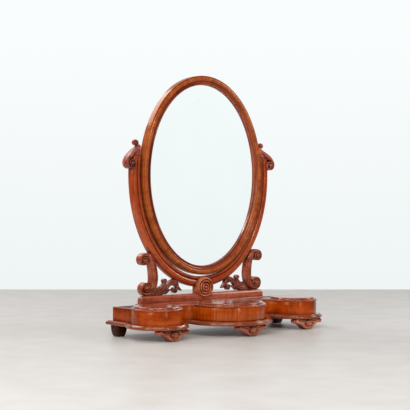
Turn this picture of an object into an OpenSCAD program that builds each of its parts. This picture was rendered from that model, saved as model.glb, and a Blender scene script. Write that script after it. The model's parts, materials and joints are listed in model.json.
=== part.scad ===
// Oval toilet mirror on a three-part base, with a drawer and two trinket wells.
// Millimetres. +Z is up, +X is to the right seen from the front, and the front faces -Y.
// The origin is on the floor, in the middle of the object's box.
// Plan and elevation points are worked out from the yoke's front face, which is y = 0
// until place() moves it to its real place.

/* [Mirror] */
// Height of the glass that shows
glass_h = 600; // [500:10:720]
// Width of the glass that shows
glass_w = 435; // [360:5:522]
// Width of the frame's moulding, from the glass to its outer edge
frame_face = 31; // [25:1:38]
// Depth of the frame, front to back
frame_depth = 30; // [28:1:36]
// How far the frame stands in front of the yoke
frame_proud = 10; // [8:1:12]
// Width of the bead next to the glass
frame_bead = 6; // [4:0.5:8]
// Width of the hollow between the bead and the outer roll
frame_hollow = 7.5; // [5:0.5:9]
// Width of the ledge that holds the glass
rebate_w = 6; // [5:0.5:8]
// Distance from the frame's front to the glass
glass_set_back = 12; // [11:0.5:14]
// Thickness of the glass
glass_t = 4; // [3:0.5:6]
// Thickness of the backboard
backboard_t = 5; // [3:1:8]

/* [Yoke] */
// Gap between the mirror frame and the yoke
swing_gap = 5; // [4:0.5:8]
// Depth of the yoke, front to back
yoke_depth = 24; // [22:1:28]
// Width of each arm at its head
arm_head_face = 34; // [28:1:38]
// Width of each arm where the two meet under the mirror
arm_root_face = 36; // [32:1:44]
// Width of the bead along each arm's inner edge
arm_bead = 8; // [6:1:10]
// Height of the yoke's lowest point above the rail
yoke_lift = 19; // [14:1:27]
// Angle round the oval at which the arms end
arm_head_angle = 10; // [8:0.5:12]

/* [Pivots] */
// Angle of the pivots round the oval, above its waist
pivot_angle = 6.5; // [5:0.5:7.5]
// Distance of the pivots behind the yoke's front face
pivot_y = 11; // [9.5:0.5:13]
// Diameter of the pivot pins
pin_d = 7; // [5:0.5:8]
// Running clearance round a pin in its bush
pin_clearance = 0.05; // [0.02:0.01:0.1]
// Outer diameter of the bush in the frame
bush_d = 12; // [10:0.5:13]
// Length of the bush
bush_l = 12; // [8:1:14]
// Length of the pin inside the arm
pin_root_l = 16; // [10:1:20]
// Diameter of the collar on each pin
collar_d = 14; // [10:1:16]
// Thickness of that collar
collar_t = 1.8; // [1:0.2:2.2]

/* [Rail] */
// Half of the rail's length
rail_x = 257; // [250:1:262]
// Height of the rail
rail_h = 23.5; // [18:0.5:30]
// How far the rail reaches in front of the yoke
rail_front = 7; // [6:1:10]
// How much the rail's top edges are rounded
rail_round = 6; // [3:0.5:6]
// Half of the bolster board's length
bolster_x = 265; // [263:1:285]
// Thickness of the bolster board
bolster_t = 7; // [5:0.5:10]
// How far the bolster board reaches in front of the yoke
bolster_front = 16; // [11:1:18]
// Diameter of the turned roundel
roundel_d = 66; // [54:1:72]
// Thickness of the roundel at its rim
roundel_t = 9; // [6:1:12]

/* [Base] */
// Height of the feet
foot_h = 36; // [30:1:45]
// Thickness of the plinth board
plinth_t = 14; // [10:1:20]
// How far the plinth stands out in front and at the ends
plinth_out = 20; // [14:1:24]
// How far the plinth stands out at the back
plinth_back_out = 12; // [6:1:16]
// Height of the carcase between the plinth and the lids
carcase_h = 42; // [36:1:60]
// Thickness of the fronts, the end panels and the back board
wall = 12; // [9:0.5:14]
// Thickness of the top board
top_t = 6; // [5:0.5:9]
// Distance from the middle to each end panel's outer face
end_x = 337; // [325:1:350]
// How far the base reaches behind the yoke's front face
base_back = 38; // [37:1:60]

/* [Bows] */
// Distance from the middle to the centre of each side bow
side_bow_x = 283; // [276:1:292]
// Half of a side bow's width
side_bow_rx = 77; // [68:1:84]
// Half of a side bow's length, front to back
side_bow_ry = 85.5; // [76:0.5:96]
// How far the side bows reach in front of the yoke
side_bow_reach = 212.5; // [205:0.5:225]
// Radius of the centre bow
centre_bow_r = 124; // [118:1:128]
// How far the centre bow reaches in front of the yoke
centre_bow_reach = 254; // [245:1:262]
// Angle by which the centre bow wraps past its widest point
centre_bow_wrap = 14; // [8:1:18]

/* [Lids] */
// How far a side lid stands out past its bow
lid_out = 2; // [1:0.5:5]
// Radius of the centre top
centre_top_r = 117.5; // [108:0.5:122]
// Thickness of the lids' moulded rim
lid_rim_t = 6.5; // [5:0.5:9]
// Width of the rim outside the raised panel
lid_rim_w = 10; // [7:0.5:14]
// Height of the raised panel above the rim
panel_rise = 6; // [3:0.5:9]
// How much of a side lid's back is cut straight for its hinge
lid_flat = 12; // [8:1:20]
// Distance from the middle to a side lid's inner end
lid_inner_x = 100; // [96:1:106]
// Gap between a side lid and the centre top
lid_seam = 1; // [0.6:0.1:2]
// Diameter of the trinket wells
well_d = 120; // [100:1:126]
// Thickness of the wells' lined cups
cup_t = 3; // [2:0.5:5]

/* [Lid hinges] */
// Width of a hinge
hinge_w = 42; // [30:2:60]
// Thickness of the hinge leaves
leaf_t = 1.2; // [1:0.1:2]
// Length of a leaf from the pin to its free edge
leaf_l = 14; // [12:1:18]
// Diameter of the hinge knuckles
knuckle_d = 6; // [5:0.2:8]
// Diameter of the hinge pin
hinge_pin_d = 2.2; // [1.6:0.1:3]

/* [Drawer] */
// Thickness of the drawer front at its middle
drawer_front_t = 11; // [9:0.5:14]
// Gap round the drawer front
drawer_gap = 0.6; // [0.4:0.1:1]
// Half of the drawer pocket's width
pocket_x = 93; // [84:1:95]
// Thickness of the partitions beside the pocket
partition_t = 10; // [7:0.5:10]
// Side clearance of the drawer in its pocket
drawer_side_gap = 0.7; // [0.4:0.1:1.5]
// Thickness of the drawer's sides and back
drawer_side_t = 7; // [5:0.5:9]
// Thickness of the drawer bottom
drawer_bottom_t = 3; // [2:0.5:5]
// Height of the runners
runner_h = 1.5; // [1:0.5:3]
// Distance from the drawer's back to the back board
drawer_stop_l = 6; // [4:1:20]

/* [Feet] */
// Width of a carved front foot
foot_w = 112; // [96:2:126]
// Depth of a carved front foot
foot_depth = 34; // [26:1:40]
// Distance from the plinth's front edge to a front foot's boss
foot_set_back = 10; // [6:1:16]
// Diameter of the boss
boss_d = 22; // [16:1:26]
// How far the boss stands out
boss_out = 4; // [3:0.5:6]
// Distance from the middle to each side foot
side_foot_x = 279; // [272:1:290]
// Distance from the middle to each rear foot
rear_foot_x = 332; // [310:1:336]

/* [Hidden] */

$fn = 48;

mahogany = "#8a3f22";
veneer = "#a85316";
carved = "#6e3226";
dark_wood = "#3a1f16";
pine = "#c9a877";
brass = "#b08d42";
glass_tint = "#dfeaea";
lining = "#5a1f2a";

// Heights, from the floor up.
plinth_top = foot_h + plinth_t;
carcase_top = plinth_top + carcase_h;
bolster_top = carcase_top + bolster_t;
rail_top = bolster_top + rail_h;
yoke_bottom = rail_top + yoke_lift;
arm_in = frame_face + swing_gap;
glass_z = yoke_bottom + arm_root_face + arm_in + glass_h / 2;

// The yoke's front face lies where the object's box is centred on y = 0.
yoke_y = (centre_bow_reach + plinth_out - base_back - plinth_back_out) / 2;
module place() {
    translate([0, yoke_y, 0]) children();
}

// ---- general shapes ----
function unit(v) = v / norm(v);
function reversed(list) = [for (i = [len(list) - 1:-1:0]) list[i]];

// A smooth line through hand-chosen points, each [x, z, half width].
function blend(a, b, c, d, t) =
    0.5 * (2 * b + (c - a) * t + (2 * a - 5 * b + 4 * c - d) * t * t
           + (3 * b - a - 3 * c + d) * t * t * t);
function smooth_line(pts, steps) = [
    for (i = [0:len(pts) - 2])
        for (k = [0:steps - (i == len(pts) - 2 ? 0 : 1)])
            blend(pts[max(i - 1, 0)], pts[i], pts[i + 1], pts[min(i + 2, len(pts) - 1)],
                  k / steps)
];

// The outline of a ribbon that follows such a line.
function ribbon(pts, steps = 5) =
    let (line = smooth_line(pts, steps))
    let (last = len(line) - 1)
    let (side = [
        for (i = [0:last])
            let (ahead = line[min(i + 1, last)])
            let (behind = line[max(i - 1, 0)])
            let (way = unit([ahead.x - behind.x, ahead.y - behind.y]))
            [-way.y, way.x] * line[i].z
    ])
    concat([for (i = [0:last]) [line[i].x, line[i].y] + side[i]],
           [for (i = [last:-1:0]) [line[i].x, line[i].y] - side[i]]);

// A solid through outlines of equal length, each given as a list of 3-D points. Ends that
// have hollows are filled in triangles round hubs, which are two lists of 3-D points, one
// for each end. Each turn is [the outline's point from which a hub serves, that hub].
module loft(rings, turns = [], hubs = [[], []]) {
    n = len(rings[0]);
    last = len(rings) - 1;
    last_turn = len(turns) - 1;
    function fan(first, hub) = [
        for (t = [0:last_turn])
            let (next = t < last_turn ? turns[t + 1] : [turns[0].x + n, turns[0].y])
            each concat(
                [for (i = [turns[t].x:next.x - 1])
                    [hub + turns[t].y, first + i % n, first + (i + 1) % n]],
                next.y == turns[t].y ? []
                    : [[hub + turns[t].y, first + next.x % n, hub + next.y]])];
    floor_faces = turns == [] ? [[for (i = [0:n - 1]) i]] : fan(0, (last + 1) * n);
    roof_faces = turns == [] ? [[for (i = [n - 1:-1:0]) last * n + i]]
        : [for (f = fan(last * n, (last + 1) * n + len(hubs[0]))) reversed(f)];
    walls = [
        for (k = [0:last - 1])
            for (i = [0:n - 1])
                let (j = (i + 1) % n)
                each [[k * n + i, (k + 1) * n + j, k * n + j],
                      [k * n + i, (k + 1) * n + i, (k + 1) * n + j]]
    ];
    polyhedron([each [for (r = rings) each r], each hubs[0], each hubs[1]],
               concat(floor_faces, walls, roof_faces));
}
function at_height(pts, z) = [for (p = pts) [p.x, p.y, z]];

// An outline drawn in front elevation, as a board from y_front to y_back.
module board_xz(y_front, y_back) {
    translate([0, y_back, 0]) rotate([90, 0, 0]) linear_extrude(y_back - y_front) children();
}
module disc_xz(centre, r, y_front, y_back) {
    translate([centre.x, y_back, centre.y])
        rotate([90, 0, 0]) cylinder(r = r, h = y_back - y_front);
}

// A rectangle of half width x from y0 to y1, with corners rounded by r0 in front and r1 behind.
function rounded_box(x, y0, y1, r0, r1) = [
    for (c = [[1, r0, y0 + r0, -90], [1, r1, y1 - r1, 0], [-1, r1, y1 - r1, 90],
              [-1, r0, y0 + r0, 180]])
        for (k = [0:4])
            [c[0] * (x - c[1]) + c[1] * cos(c[3] + 22.5 * k), c[2] + c[1] * sin(c[3] + 22.5 * k)]
];

// ---- plan of the base ----
centre_bow_y = centre_bow_r - centre_bow_reach;
side_bow_y = side_bow_ry - side_bow_reach;
cove_angle = -172;
function side_bow(a) = [side_bow_x + side_bow_rx * cos(a), side_bow_y + side_bow_ry * sin(a)];

// The hollow cove is tangent to the side bow and ends at the centre bow's corner.
bow_corner = [centre_bow_r * cos(centre_bow_wrap),
              centre_bow_y + centre_bow_r * sin(centre_bow_wrap)];
cove_end = side_bow(cove_angle);
cove_normal = unit([cos(cove_angle) / side_bow_rx, sin(cove_angle) / side_bow_ry]);
cove_span = cove_end - bow_corner;
cove_r = -(cove_span * cove_span) / (2 * (cove_normal * cove_span));
cove_centre = cove_end + cove_r * cove_normal;
cove_to = atan2(cove_end.y - cove_centre.y, cove_end.x - cove_centre.x);

centre_steps = 24;
cove_steps = 10;
side_steps = 30;
corner_i = centre_steps;
arris_i = centre_steps + cove_steps + side_steps;

// Where the bow and the cove meet once the outline is moved out by d.
function corner_at(d) =
    let (r1 = centre_bow_r + d)
    let (r2 = cove_r - d)
    let (span = cove_centre - [0, centre_bow_y])
    let (apart = norm(span))
    let (along = (r1 * r1 - r2 * r2 + apart * apart) / (2 * apart))
    let (aside = sqrt(r1 * r1 - along * along))
    [0, centre_bow_y] + (along * span + aside * [-span.y, span.x]) / apart;

// A point of the side bow moved out by d, and the angle at which it meets the end panel.
function side_bow_out(a, d) =
    side_bow(a) + d * unit([cos(a) / side_bow_rx, sin(a) / side_bow_ry]);
function arris_angle(d, low = 0, high = 90, tries = 40) =
    let (mid = (low + high) / 2)
    tries == 0 ? mid
    : side_bow_out(mid, d).x > end_x + d ? arris_angle(d, mid, high, tries - 1)
    : arris_angle(d, low, mid, tries - 1);

// The right half of the outline, moved out by d, from the middle of the front to the back.
function half_plan(back, d) =
    let (corner = corner_at(d))
    let (bow_to = atan2(corner.y - centre_bow_y, corner.x))
    let (cove_from = atan2(corner.y - cove_centre.y, corner.x - cove_centre.x))
    let (side_to = arris_angle(d))
    concat(
        [for (k = [0:centre_steps])
            let (a = -90 + (90 + bow_to) * k / centre_steps)
            [0, centre_bow_y] + (centre_bow_r + d) * [cos(a), sin(a)]],
        [for (k = [1:cove_steps - 1])
            let (a = cove_from + (cove_to - cove_from) * k / cove_steps)
            cove_centre + (cove_r - d) * [cos(a), sin(a)]],
        [for (k = [0:side_steps])
            side_bow_out(cove_angle + (side_to - cove_angle) * k / side_steps, d)],
        [[end_x + d, back]]);
function plan(back, d) =
    let (half = half_plan(back, d))
    concat(half, [for (i = [len(half) - 1:-1:1]) [-half[i].x, half[i].y]]);

// Points of the plan from which the middle and the two ends are seen whole.
plan_hubs = [[0, 0], [side_bow_x, 0], [-side_bow_x, 0]];

outer_plan = plan(base_back, 0);
inner_plan = plan(base_back - wall, -wall);

// A stretch of the wall between two points of the plan.
function wall_strip(from, to) = concat(
    [for (i = [from:to]) outer_plan[i]],
    [for (i = [to:-1:from]) inner_plan[i]]);
module wall_piece(pts) {
    place() translate([0, 0, plinth_top]) linear_extrude(carcase_h) polygon(pts);
}

// ---- base ----
// The plinth's rounded edge: [how far in from its full reach, part of its thickness].
plinth_edge = [[4, 0], [1, 0.08], [0, 0.3], [0.6, 0.55], [2.5, 0.75], [3.2, 0.8], [6.5, 1]];
function plinth_plan(inset) = plan(base_back + plinth_back_out - inset, plinth_out - inset);
foot_screw_d = 5;
foot_screw_up = 9;
side_foot_y = foot_set_back + boss_out - side_bow_reach - plinth_out;
centre_foot_y = foot_set_back + boss_out - centre_bow_reach - plinth_out;
rear_foot_y = base_back - 27;
foot_screws_at = [
    [-side_foot_x, side_foot_y + foot_depth / 2], [0, centre_foot_y + foot_depth / 2],
    [side_foot_x, side_foot_y + foot_depth / 2], [-rear_foot_x, rear_foot_y],
    [rear_foot_x, rear_foot_y]];

module plinth() color(mahogany) place() difference() {
    loft([for (e = plinth_edge) at_height(plinth_plan(e.x), foot_h + plinth_t * e.y)],
         [[0, 0], [corner_i, 1], [arris_i + 1, 0], [arris_i + 2, 2],
          [2 * arris_i + 3 - corner_i, 0]],
         [at_height(plan_hubs, foot_h), at_height(plan_hubs, plinth_top)]);
    for (p = foot_screws_at)
        translate([p.x, p.y, foot_h - 1]) cylinder(d = foot_screw_d, h = foot_screw_up + 1);
}

module back_board() color(dark_wood) wall_piece([
    [end_x, base_back], [-end_x, base_back],
    [wall - end_x, base_back - wall], [end_x - wall, base_back - wall]]);

module right_end_panel() color(veneer) wall_piece(wall_strip(arris_i, arris_i + 1));
module left_end_panel() mirror([1, 0, 0]) right_end_panel();
module right_front() color(veneer) wall_piece(wall_strip(corner_i, arris_i));
module left_front() mirror([1, 0, 0]) right_front();

// The roof of the drawer pocket keeps clear of the drawer front and of its thick ends.
roof_gap = 0.8;
front_end_x = pocket_x + partition_t + 1;
pocket_roof_x = front_end_x - drawer_gap;
drawer_front_in_r = centre_bow_r - drawer_front_t;
roof_r = drawer_front_in_r - roof_gap;
function bow_line(r, x) = centre_bow_y - sqrt(r * r - x * x);
function roof_half() = concat(
    [for (k = [0:12]) let (x = pocket_roof_x * k / 12) [x, bow_line(roof_r, x)]],
    [[pocket_roof_x, inner_plan[corner_i].y + roof_gap]],
    [for (i = [corner_i:arris_i + 1]) inner_plan[i]]);
bolster_screw_d = 4;
bolster_screw_y = 14;
bolster_screws_x = [-225, -130, 130, 225];

module right_top_board() color(mahogany) place() difference() {
    translate([0, 0, carcase_top - top_t]) linear_extrude(top_t)
        polygon(concat(roof_half(), [[0, base_back - wall]]));
    translate([side_bow_x, side_bow_y, carcase_top - top_t - 1])
        cylinder(d = well_d, h = top_t + 2, $fn = 96);
    for (p = leaf_screw_places(leaf_l - leaf_screw_inset))
        translate([side_bow_x + p.x, hinge_y + p.y, carcase_top - leaf_screw_l])
            cylinder(d = leaf_screw_d, h = leaf_screw_l + 1);
    for (x = bolster_screws_x)
        translate([x, bolster_screw_y, carcase_top - top_t - 1])
            cylinder(d = bolster_screw_d, h = top_t + 2);
}
module left_top_board() mirror([1, 0, 0]) right_top_board();

// The partitions and the runners start this far behind the drawer front.
partition_gap = 5;
partition_front = bow_line(drawer_front_in_r, pocket_x + partition_t) + partition_gap;
module right_partition() color(pine) place()
    translate([pocket_x, partition_front, plinth_top])
        cube([partition_t, base_back - wall - partition_front, carcase_h - top_t]);
module left_partition() mirror([1, 0, 0]) right_partition();

module drawer_runners() color(pine) place() for (s = [-1, 1])
    translate([s * (pocket_x - drawer_side_t / 2) - drawer_side_t / 2, partition_front, plinth_top])
        cube([drawer_side_t, drawer_back_y - partition_front, runner_h]);

stop_x = 56;
stop_w = 20;
stop_h = 12;
stop_gap = 0.3;
module drawer_stops() color(pine) place() for (s = [-1, 1])
    translate([s * stop_x - stop_w / 2, drawer_back_y + stop_gap, plinth_top])
        cube([stop_w, drawer_stop_l - stop_gap, stop_h]);

// A cup slips into its hole with some play, and ends just below the top.
cup_d = well_d - 0.4;
cup_below_top = 0.5;
module right_well_cup() color(lining) place()
    translate([side_bow_x, side_bow_y, plinth_top]) difference() {
        cylinder(d = cup_d, h = carcase_h - cup_below_top, $fn = 96);
        translate([0, 0, cup_t]) cylinder(d = cup_d - 2 * cup_t, h = carcase_h, $fn = 96);
    }
module left_well_cup() mirror([1, 0, 0]) right_well_cup();

// ---- lids ----
// Edge of a top: [how far in from the rim, height above its underside], in two stretches.
function rim_edge() = [
    [3, 0], [0.8, 0.6], [0, lid_rim_t * 0.4], [0.5, lid_rim_t * 0.75], [3, lid_rim_t * 0.95],
    [lid_rim_w - 3, lid_rim_t]];
function panel_edge() = [
    [lid_rim_w - 1.6, lid_rim_t + panel_rise * 0.15], [lid_rim_w - 0.8, lid_rim_t + panel_rise * 0.6],
    [lid_rim_w + 1, lid_rim_t + panel_rise * 0.9], [lid_rim_w + 4, lid_rim_t + panel_rise]];
centre_top_y = centre_top_r - centre_bow_reach - lid_out;
panel_steps = 72;
side_lid_rx = side_bow_rx + lid_out;
side_lid_ry = side_bow_ry + lid_out;
lid_back_y = side_bow_y + side_lid_ry - lid_flat;
function side_panel_plan(inset) = [
    for (k = [0:panel_steps - 1])
        let (a = 360 * k / panel_steps)
        [side_bow_x + (side_lid_rx - inset) * cos(a),
         min(side_bow_y + (side_lid_ry - inset) * sin(a), lid_back_y - inset)]];

// A side lid's rim follows the bow and the cove, and ends on a circle round the centre top.
lid_seam_r = centre_top_r + lid_seam;
lid_seam_to = acos(lid_inner_x / lid_seam_r);
lid_bow_to = asin((lid_back_y - side_bow_y) / side_lid_ry);
lid_steps = 40;
seam_steps = 6;
function on_seam(a) = [lid_seam_r * cos(a), centre_top_y + lid_seam_r * sin(a)];
function side_lid_plan(inset) =
    let (d = lid_out - inset)
    let (tip = corner_at(lid_out) - cove_centre)
    let (cove_from = atan2(tip.y, tip.x) - inset / cove_r * 180 / PI)
    let (corner = corner_at(lid_out) - [0, centre_top_y])
    let (seam_from = atan2(corner.y, corner.x) + inset / lid_seam_r * 180 / PI)
    concat(
        [for (k = [0:cove_steps - 1])
            let (a = cove_from + (cove_to - cove_from) * k / cove_steps)
            cove_centre + (cove_r - d) * [cos(a), sin(a)]],
        [for (k = [0:lid_steps])
            let (p = side_bow_out(cove_angle + (lid_bow_to - cove_angle) * k / lid_steps, d))
            [p.x, min(p.y, lid_back_y - inset)]],
        [[lid_inner_x, lid_back_y - inset]],
        [for (k = [seam_steps:-1:0])
            on_seam(seam_from + (lid_seam_to - seam_from) * k / seam_steps)]);
// Points of that plan from which its bow and its inner end are seen whole.
side_lid_hubs = [[side_bow_x, lid_back_y - 20], [lid_inner_x + 20, lid_back_y - 12]];

module centre_top() color(mahogany) place()
    translate([0, centre_top_y, carcase_top])
        rotate_extrude($fn = 120) polygon(concat([[0, 0]],
            [for (e = concat(rim_edge(), panel_edge())) [centre_top_r - e.x, e.y]],
            [[0, lid_rim_t + panel_rise]]));

// The hinge pin's axis stands one knuckle radius above the top board, behind the lid.
hinge_gap = 0.3;
hinge_lift = 0.2;
hinge_z = carcase_top + knuckle_d / 2 + hinge_lift;
hinge_y = lid_back_y + knuckle_d / 2 + hinge_gap;
lid_leaf_up = 0.2;
leaf_recess = leaf_t + lid_leaf_up;
leaf_screw_d = 2;
leaf_screw_head_d = 4;
leaf_screw_l = 5;
leaf_screw_inset = 4.5;
function leaf_screw_places(y) = [[-hinge_w / 3, y], [hinge_w / 3, y]];

module right_lid() color(mahogany) place() difference() {
    union() {
        loft([for (e = rim_edge()) at_height(side_lid_plan(e.x), carcase_top + e.y)],
             [[0, 1], [cove_steps / 2, 0], [cove_steps + lid_steps + 1, 1]],
             [at_height(side_lid_hubs, carcase_top),
              at_height(side_lid_hubs, carcase_top + lid_rim_t)]);
        loft([for (e = concat([[lid_rim_w - 1.8, lid_rim_t - 1]], panel_edge()))
            at_height(side_panel_plan(e.x), carcase_top + e.y)]);
    }
    translate([side_bow_x - hinge_w / 2 - hinge_gap, hinge_y - leaf_l - hinge_gap, carcase_top - 1])
        cube([hinge_w + 2 * hinge_gap, leaf_l + knuckle_d, leaf_recess + 1]);
    for (p = leaf_screw_places(leaf_screw_inset - leaf_l))
        translate([side_bow_x + p.x, hinge_y + p.y, carcase_top])
            cylinder(d = leaf_screw_d, h = leaf_recess + leaf_screw_l);
}
module left_lid() mirror([1, 0, 0]) right_lid();

// A leaf lies level behind the pin (way = 1) or in front of it (way = -1), with knuckles
// on the stretches of x given as [start, end].
module hinge_leaf(way, knuckles, leaf_z) {
    difference() {
        union() {
            translate([-hinge_w / 2, way > 0 ? knuckle_d / 2 + hinge_gap : -leaf_l, leaf_z])
                cube([hinge_w, leaf_l - knuckle_d / 2 - hinge_gap, leaf_t]);
            for (k = knuckles) {
                translate([k[0], 0, 0]) rotate([0, 90, 0])
                    cylinder(d = knuckle_d, h = k[1] - k[0]);
                translate([k[0], way > 0 ? 0 : -knuckle_d / 2 - hinge_gap, leaf_z])
                    cube([k[1] - k[0], knuckle_d / 2 + hinge_gap, leaf_t]);
            }
        }
        translate([-hinge_w / 2 - 1, 0, 0]) rotate([0, 90, 0])
            cylinder(d = hinge_pin_d + 2 * pin_clearance, h = hinge_w + 2);
        for (p = leaf_screw_places(way * (leaf_l - leaf_screw_inset)))
            translate([p.x, p.y, leaf_z - 1]) cylinder(d = leaf_screw_head_d, h = leaf_t + 2);
    }
}
knuckle_third = hinge_w / 3;
module at_right_hinge() place() translate([side_bow_x, hinge_y, hinge_z]) children();

module right_hinge_fixed_leaf() color(brass) at_right_hinge()
    hinge_leaf(1, [[-hinge_w / 2, -knuckle_third / 2], [knuckle_third / 2, hinge_w / 2]],
               carcase_top - hinge_z);
module left_hinge_fixed_leaf() mirror([1, 0, 0]) right_hinge_fixed_leaf();
module right_hinge_lid_leaf() color(brass) at_right_hinge()
    hinge_leaf(-1, [[hinge_gap - knuckle_third / 2, knuckle_third / 2 - hinge_gap]],
               carcase_top - hinge_z + lid_leaf_up);
module left_hinge_lid_leaf() mirror([1, 0, 0]) right_hinge_lid_leaf();
module right_hinge_pin() color(brass) at_right_hinge()
    translate([-hinge_w / 2, 0, 0]) rotate([0, 90, 0]) cylinder(d = hinge_pin_d, h = hinge_w);
module left_hinge_pin() mirror([1, 0, 0]) right_hinge_pin();

module leaf_screw() {
    cylinder(d = leaf_screw_head_d, h = leaf_t);
    translate([0, 0, -leaf_screw_l]) cylinder(d = leaf_screw_d, h = leaf_screw_l + 0.1);
}
module fixed_leaf_screws() color(brass) place() for (s = [-1, 1])
    for (p = leaf_screw_places(leaf_l - leaf_screw_inset))
        translate([s * side_bow_x + p.x, hinge_y + p.y, carcase_top]) leaf_screw();
module right_lid_screws() color(brass) place()
    for (p = leaf_screw_places(leaf_screw_inset - leaf_l))
        translate([side_bow_x + p.x, hinge_y + p.y, carcase_top + leaf_recess])
            mirror([0, 0, 1]) leaf_screw();
module left_lid_screws() mirror([1, 0, 0]) right_lid_screws();

// ---- drawer ----
drawer_back_y = base_back - wall - drawer_stop_l;
drawer_side_x = pocket_x - drawer_side_gap;
runner_gap = 0.2;
roof_clearance = 2;
floor_groove_up = 2;
drawer_side_z = plinth_top + runner_h + runner_gap;
drawer_side_h = carcase_top - top_t - roof_clearance - drawer_side_z;
drawer_floor_z = drawer_side_z + floor_groove_up;
// The front's ends follow the mitre of the corner, in line with the fixed fronts.
end_slope = (inner_plan[corner_i].y - bow_corner.y) / (inner_plan[corner_i].x - bow_corner.x);
function drawer_front_half() = concat(
    [for (i = [0:corner_i]) outer_plan[i]],
    [[front_end_x, bow_corner.y + end_slope * (front_end_x - bow_corner.x)]],
    [for (k = [16:-1:0]) let (x = front_end_x * k / 16) [x, bow_line(drawer_front_in_r, x)]]);
function drawer_front_plan() =
    let (half = drawer_front_half())
    concat(half, [for (i = [len(half) - 2:-1:1]) [-half[i].x, half[i].y]]);

module drawer_front() color(veneer) place()
    translate([0, -drawer_gap, plinth_top + drawer_gap])
        linear_extrude(carcase_h - 2 * drawer_gap) polygon(drawer_front_plan());

// The sides and the bottom stop on the inside of the drawer front.
seat_gap = 0.2;
seat_r = drawer_front_in_r - seat_gap;
function seat_y(x) = bow_line(seat_r, x) - drawer_gap;
module drawer_right_side() color(pine) place()
    translate([0, 0, drawer_side_z]) linear_extrude(drawer_side_h) polygon([
        [drawer_side_x - drawer_side_t, seat_y(drawer_side_x - drawer_side_t)],
        [drawer_side_x, seat_y(drawer_side_x)],
        [drawer_side_x, drawer_back_y], [drawer_side_x - drawer_side_t, drawer_back_y]]);
module drawer_left_side() mirror([1, 0, 0]) drawer_right_side();
drawer_in_x = drawer_side_x - drawer_side_t;
module drawer_back() color(pine) place()
    translate([-drawer_in_x, drawer_back_y - drawer_side_t, drawer_side_z])
        cube([2 * drawer_in_x, drawer_side_t, drawer_side_h]);
module drawer_bottom() color(pine) place() translate([0, 0, drawer_floor_z])
    linear_extrude(drawer_bottom_t) polygon(concat(
        [for (k = [-12:12]) let (x = drawer_in_x * k / 12) [x, seat_y(x)]],
        [[drawer_in_x, drawer_back_y - drawer_side_t], [-drawer_in_x, drawer_back_y - drawer_side_t]]));

// ---- rail ----
// The rail stands a little behind the yoke, and its board a little behind the rail.
rail_back = yoke_depth + 2;
bolster_back = rail_back + 2;
end_corner_r = 15;
module bolster_board() color(mahogany) place() difference() {
    loft([for (e = [[1.5, 0], [0, 1.5], [0, bolster_t - 2], [2, bolster_t]])
        at_height(rounded_box(bolster_x - e.x, e.x - bolster_front, bolster_back - e.x,
                              4, end_corner_r), carcase_top + e.y)]);
    for (x = bolster_screws_x)
        translate([x, bolster_screw_y, carcase_top - 1])
            cylinder(d = bolster_screw_d, h = bolster_t + 2);
}

// The rail's top edge is rounded further down than it is across.
rail_round_h = rail_round * 1.6;
rail_screw_up = 12;
roundel_fit = 0.2;
module rail() color(mahogany) place() difference() {
    loft([for (a = [0, 0.01, 22.5, 45, 67.5, 90])
        let (inset = rail_round * (1 - cos(a)))
        at_height(rounded_box(rail_x - 2 * inset, inset - rail_front, rail_back,
                              5, end_corner_r),
                  a == 0 ? bolster_top : rail_top - rail_round_h * (1 - sin(a)))]);
    disc_xz([0, roundel_z], roundel_d / 2 + roundel_fit, -roundel_t - 10, 0);
    for (x = bolster_screws_x)
        translate([x, bolster_screw_y, bolster_top - 1])
            cylinder(d = bolster_screw_d, h = rail_screw_up + 1);
}

bolster_head_d = 8;
bolster_head_t = 2;
module bolster_screws() color(brass) place() for (x = bolster_screws_x)
    translate([x, bolster_screw_y, carcase_top - top_t]) {
        translate([0, 0, -bolster_head_t]) cylinder(d = bolster_head_d, h = bolster_head_t);
        cylinder(d = bolster_screw_d, h = top_t + bolster_t + rail_screw_up);
    }

// The block under the yoke's lowest point runs up beside it, scribed to its curve.
block_x = 28;
block_up = 8;
module centre_block() color(mahogany) place() difference() {
    translate([-block_x, 0, rail_top]) cube([2 * block_x, yoke_depth, yoke_lift + block_up]);
    both_arm_outlines();
}

// Turned rings, as [radius as a part of the roundel's, height in front of the rim's back].
roundel_z = yoke_bottom + 0.5;
roundel_rings = [[1, 0], [1, 1], [0.95, 1.4], [0.85, 1.55], [0.76, 1.4], [0.72, 1.15],
    [0.67, 1.4], [0.58, 1.6], [0.49, 1.4], [0.45, 1.2], [0.4, 1.5], [0.31, 1.7],
    [0.23, 1.5], [0.19, 1.3], [0.15, 1.65], [0.08, 1.85], [0, 1.9]];
module roundel() color(mahogany) place() translate([0, 0, roundel_z]) rotate([90, 0, 0])
    rotate_extrude($fn = 96) polygon(concat([[0, 0]],
        [for (r = roundel_rings) [r.x * roundel_d / 2, r.y * roundel_t]]));

// ---- yoke ----
// A point at angle a of the oval, moved out from the sight edge by d, in front elevation.
function oval(a, d) =
    let (n = unit([cos(a) / glass_w, sin(a) / glass_h]))
    [glass_w / 2 * cos(a) + d * n.x, glass_z + glass_h / 2 * sin(a) + d * n.y];

// The arms grow from their heads to full width over this much of the oval.
arm_taper_angle = 50;
function arm_face(a) =
    let (t = min(max(-a / arm_taper_angle, 0), 1))
    arm_head_face + (arm_root_face - arm_head_face) * t * t * (3 - 2 * t);
arm_steps = 40;
function arm_angle(k) = -90 + (90 + arm_head_angle) * k / arm_steps;

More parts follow.
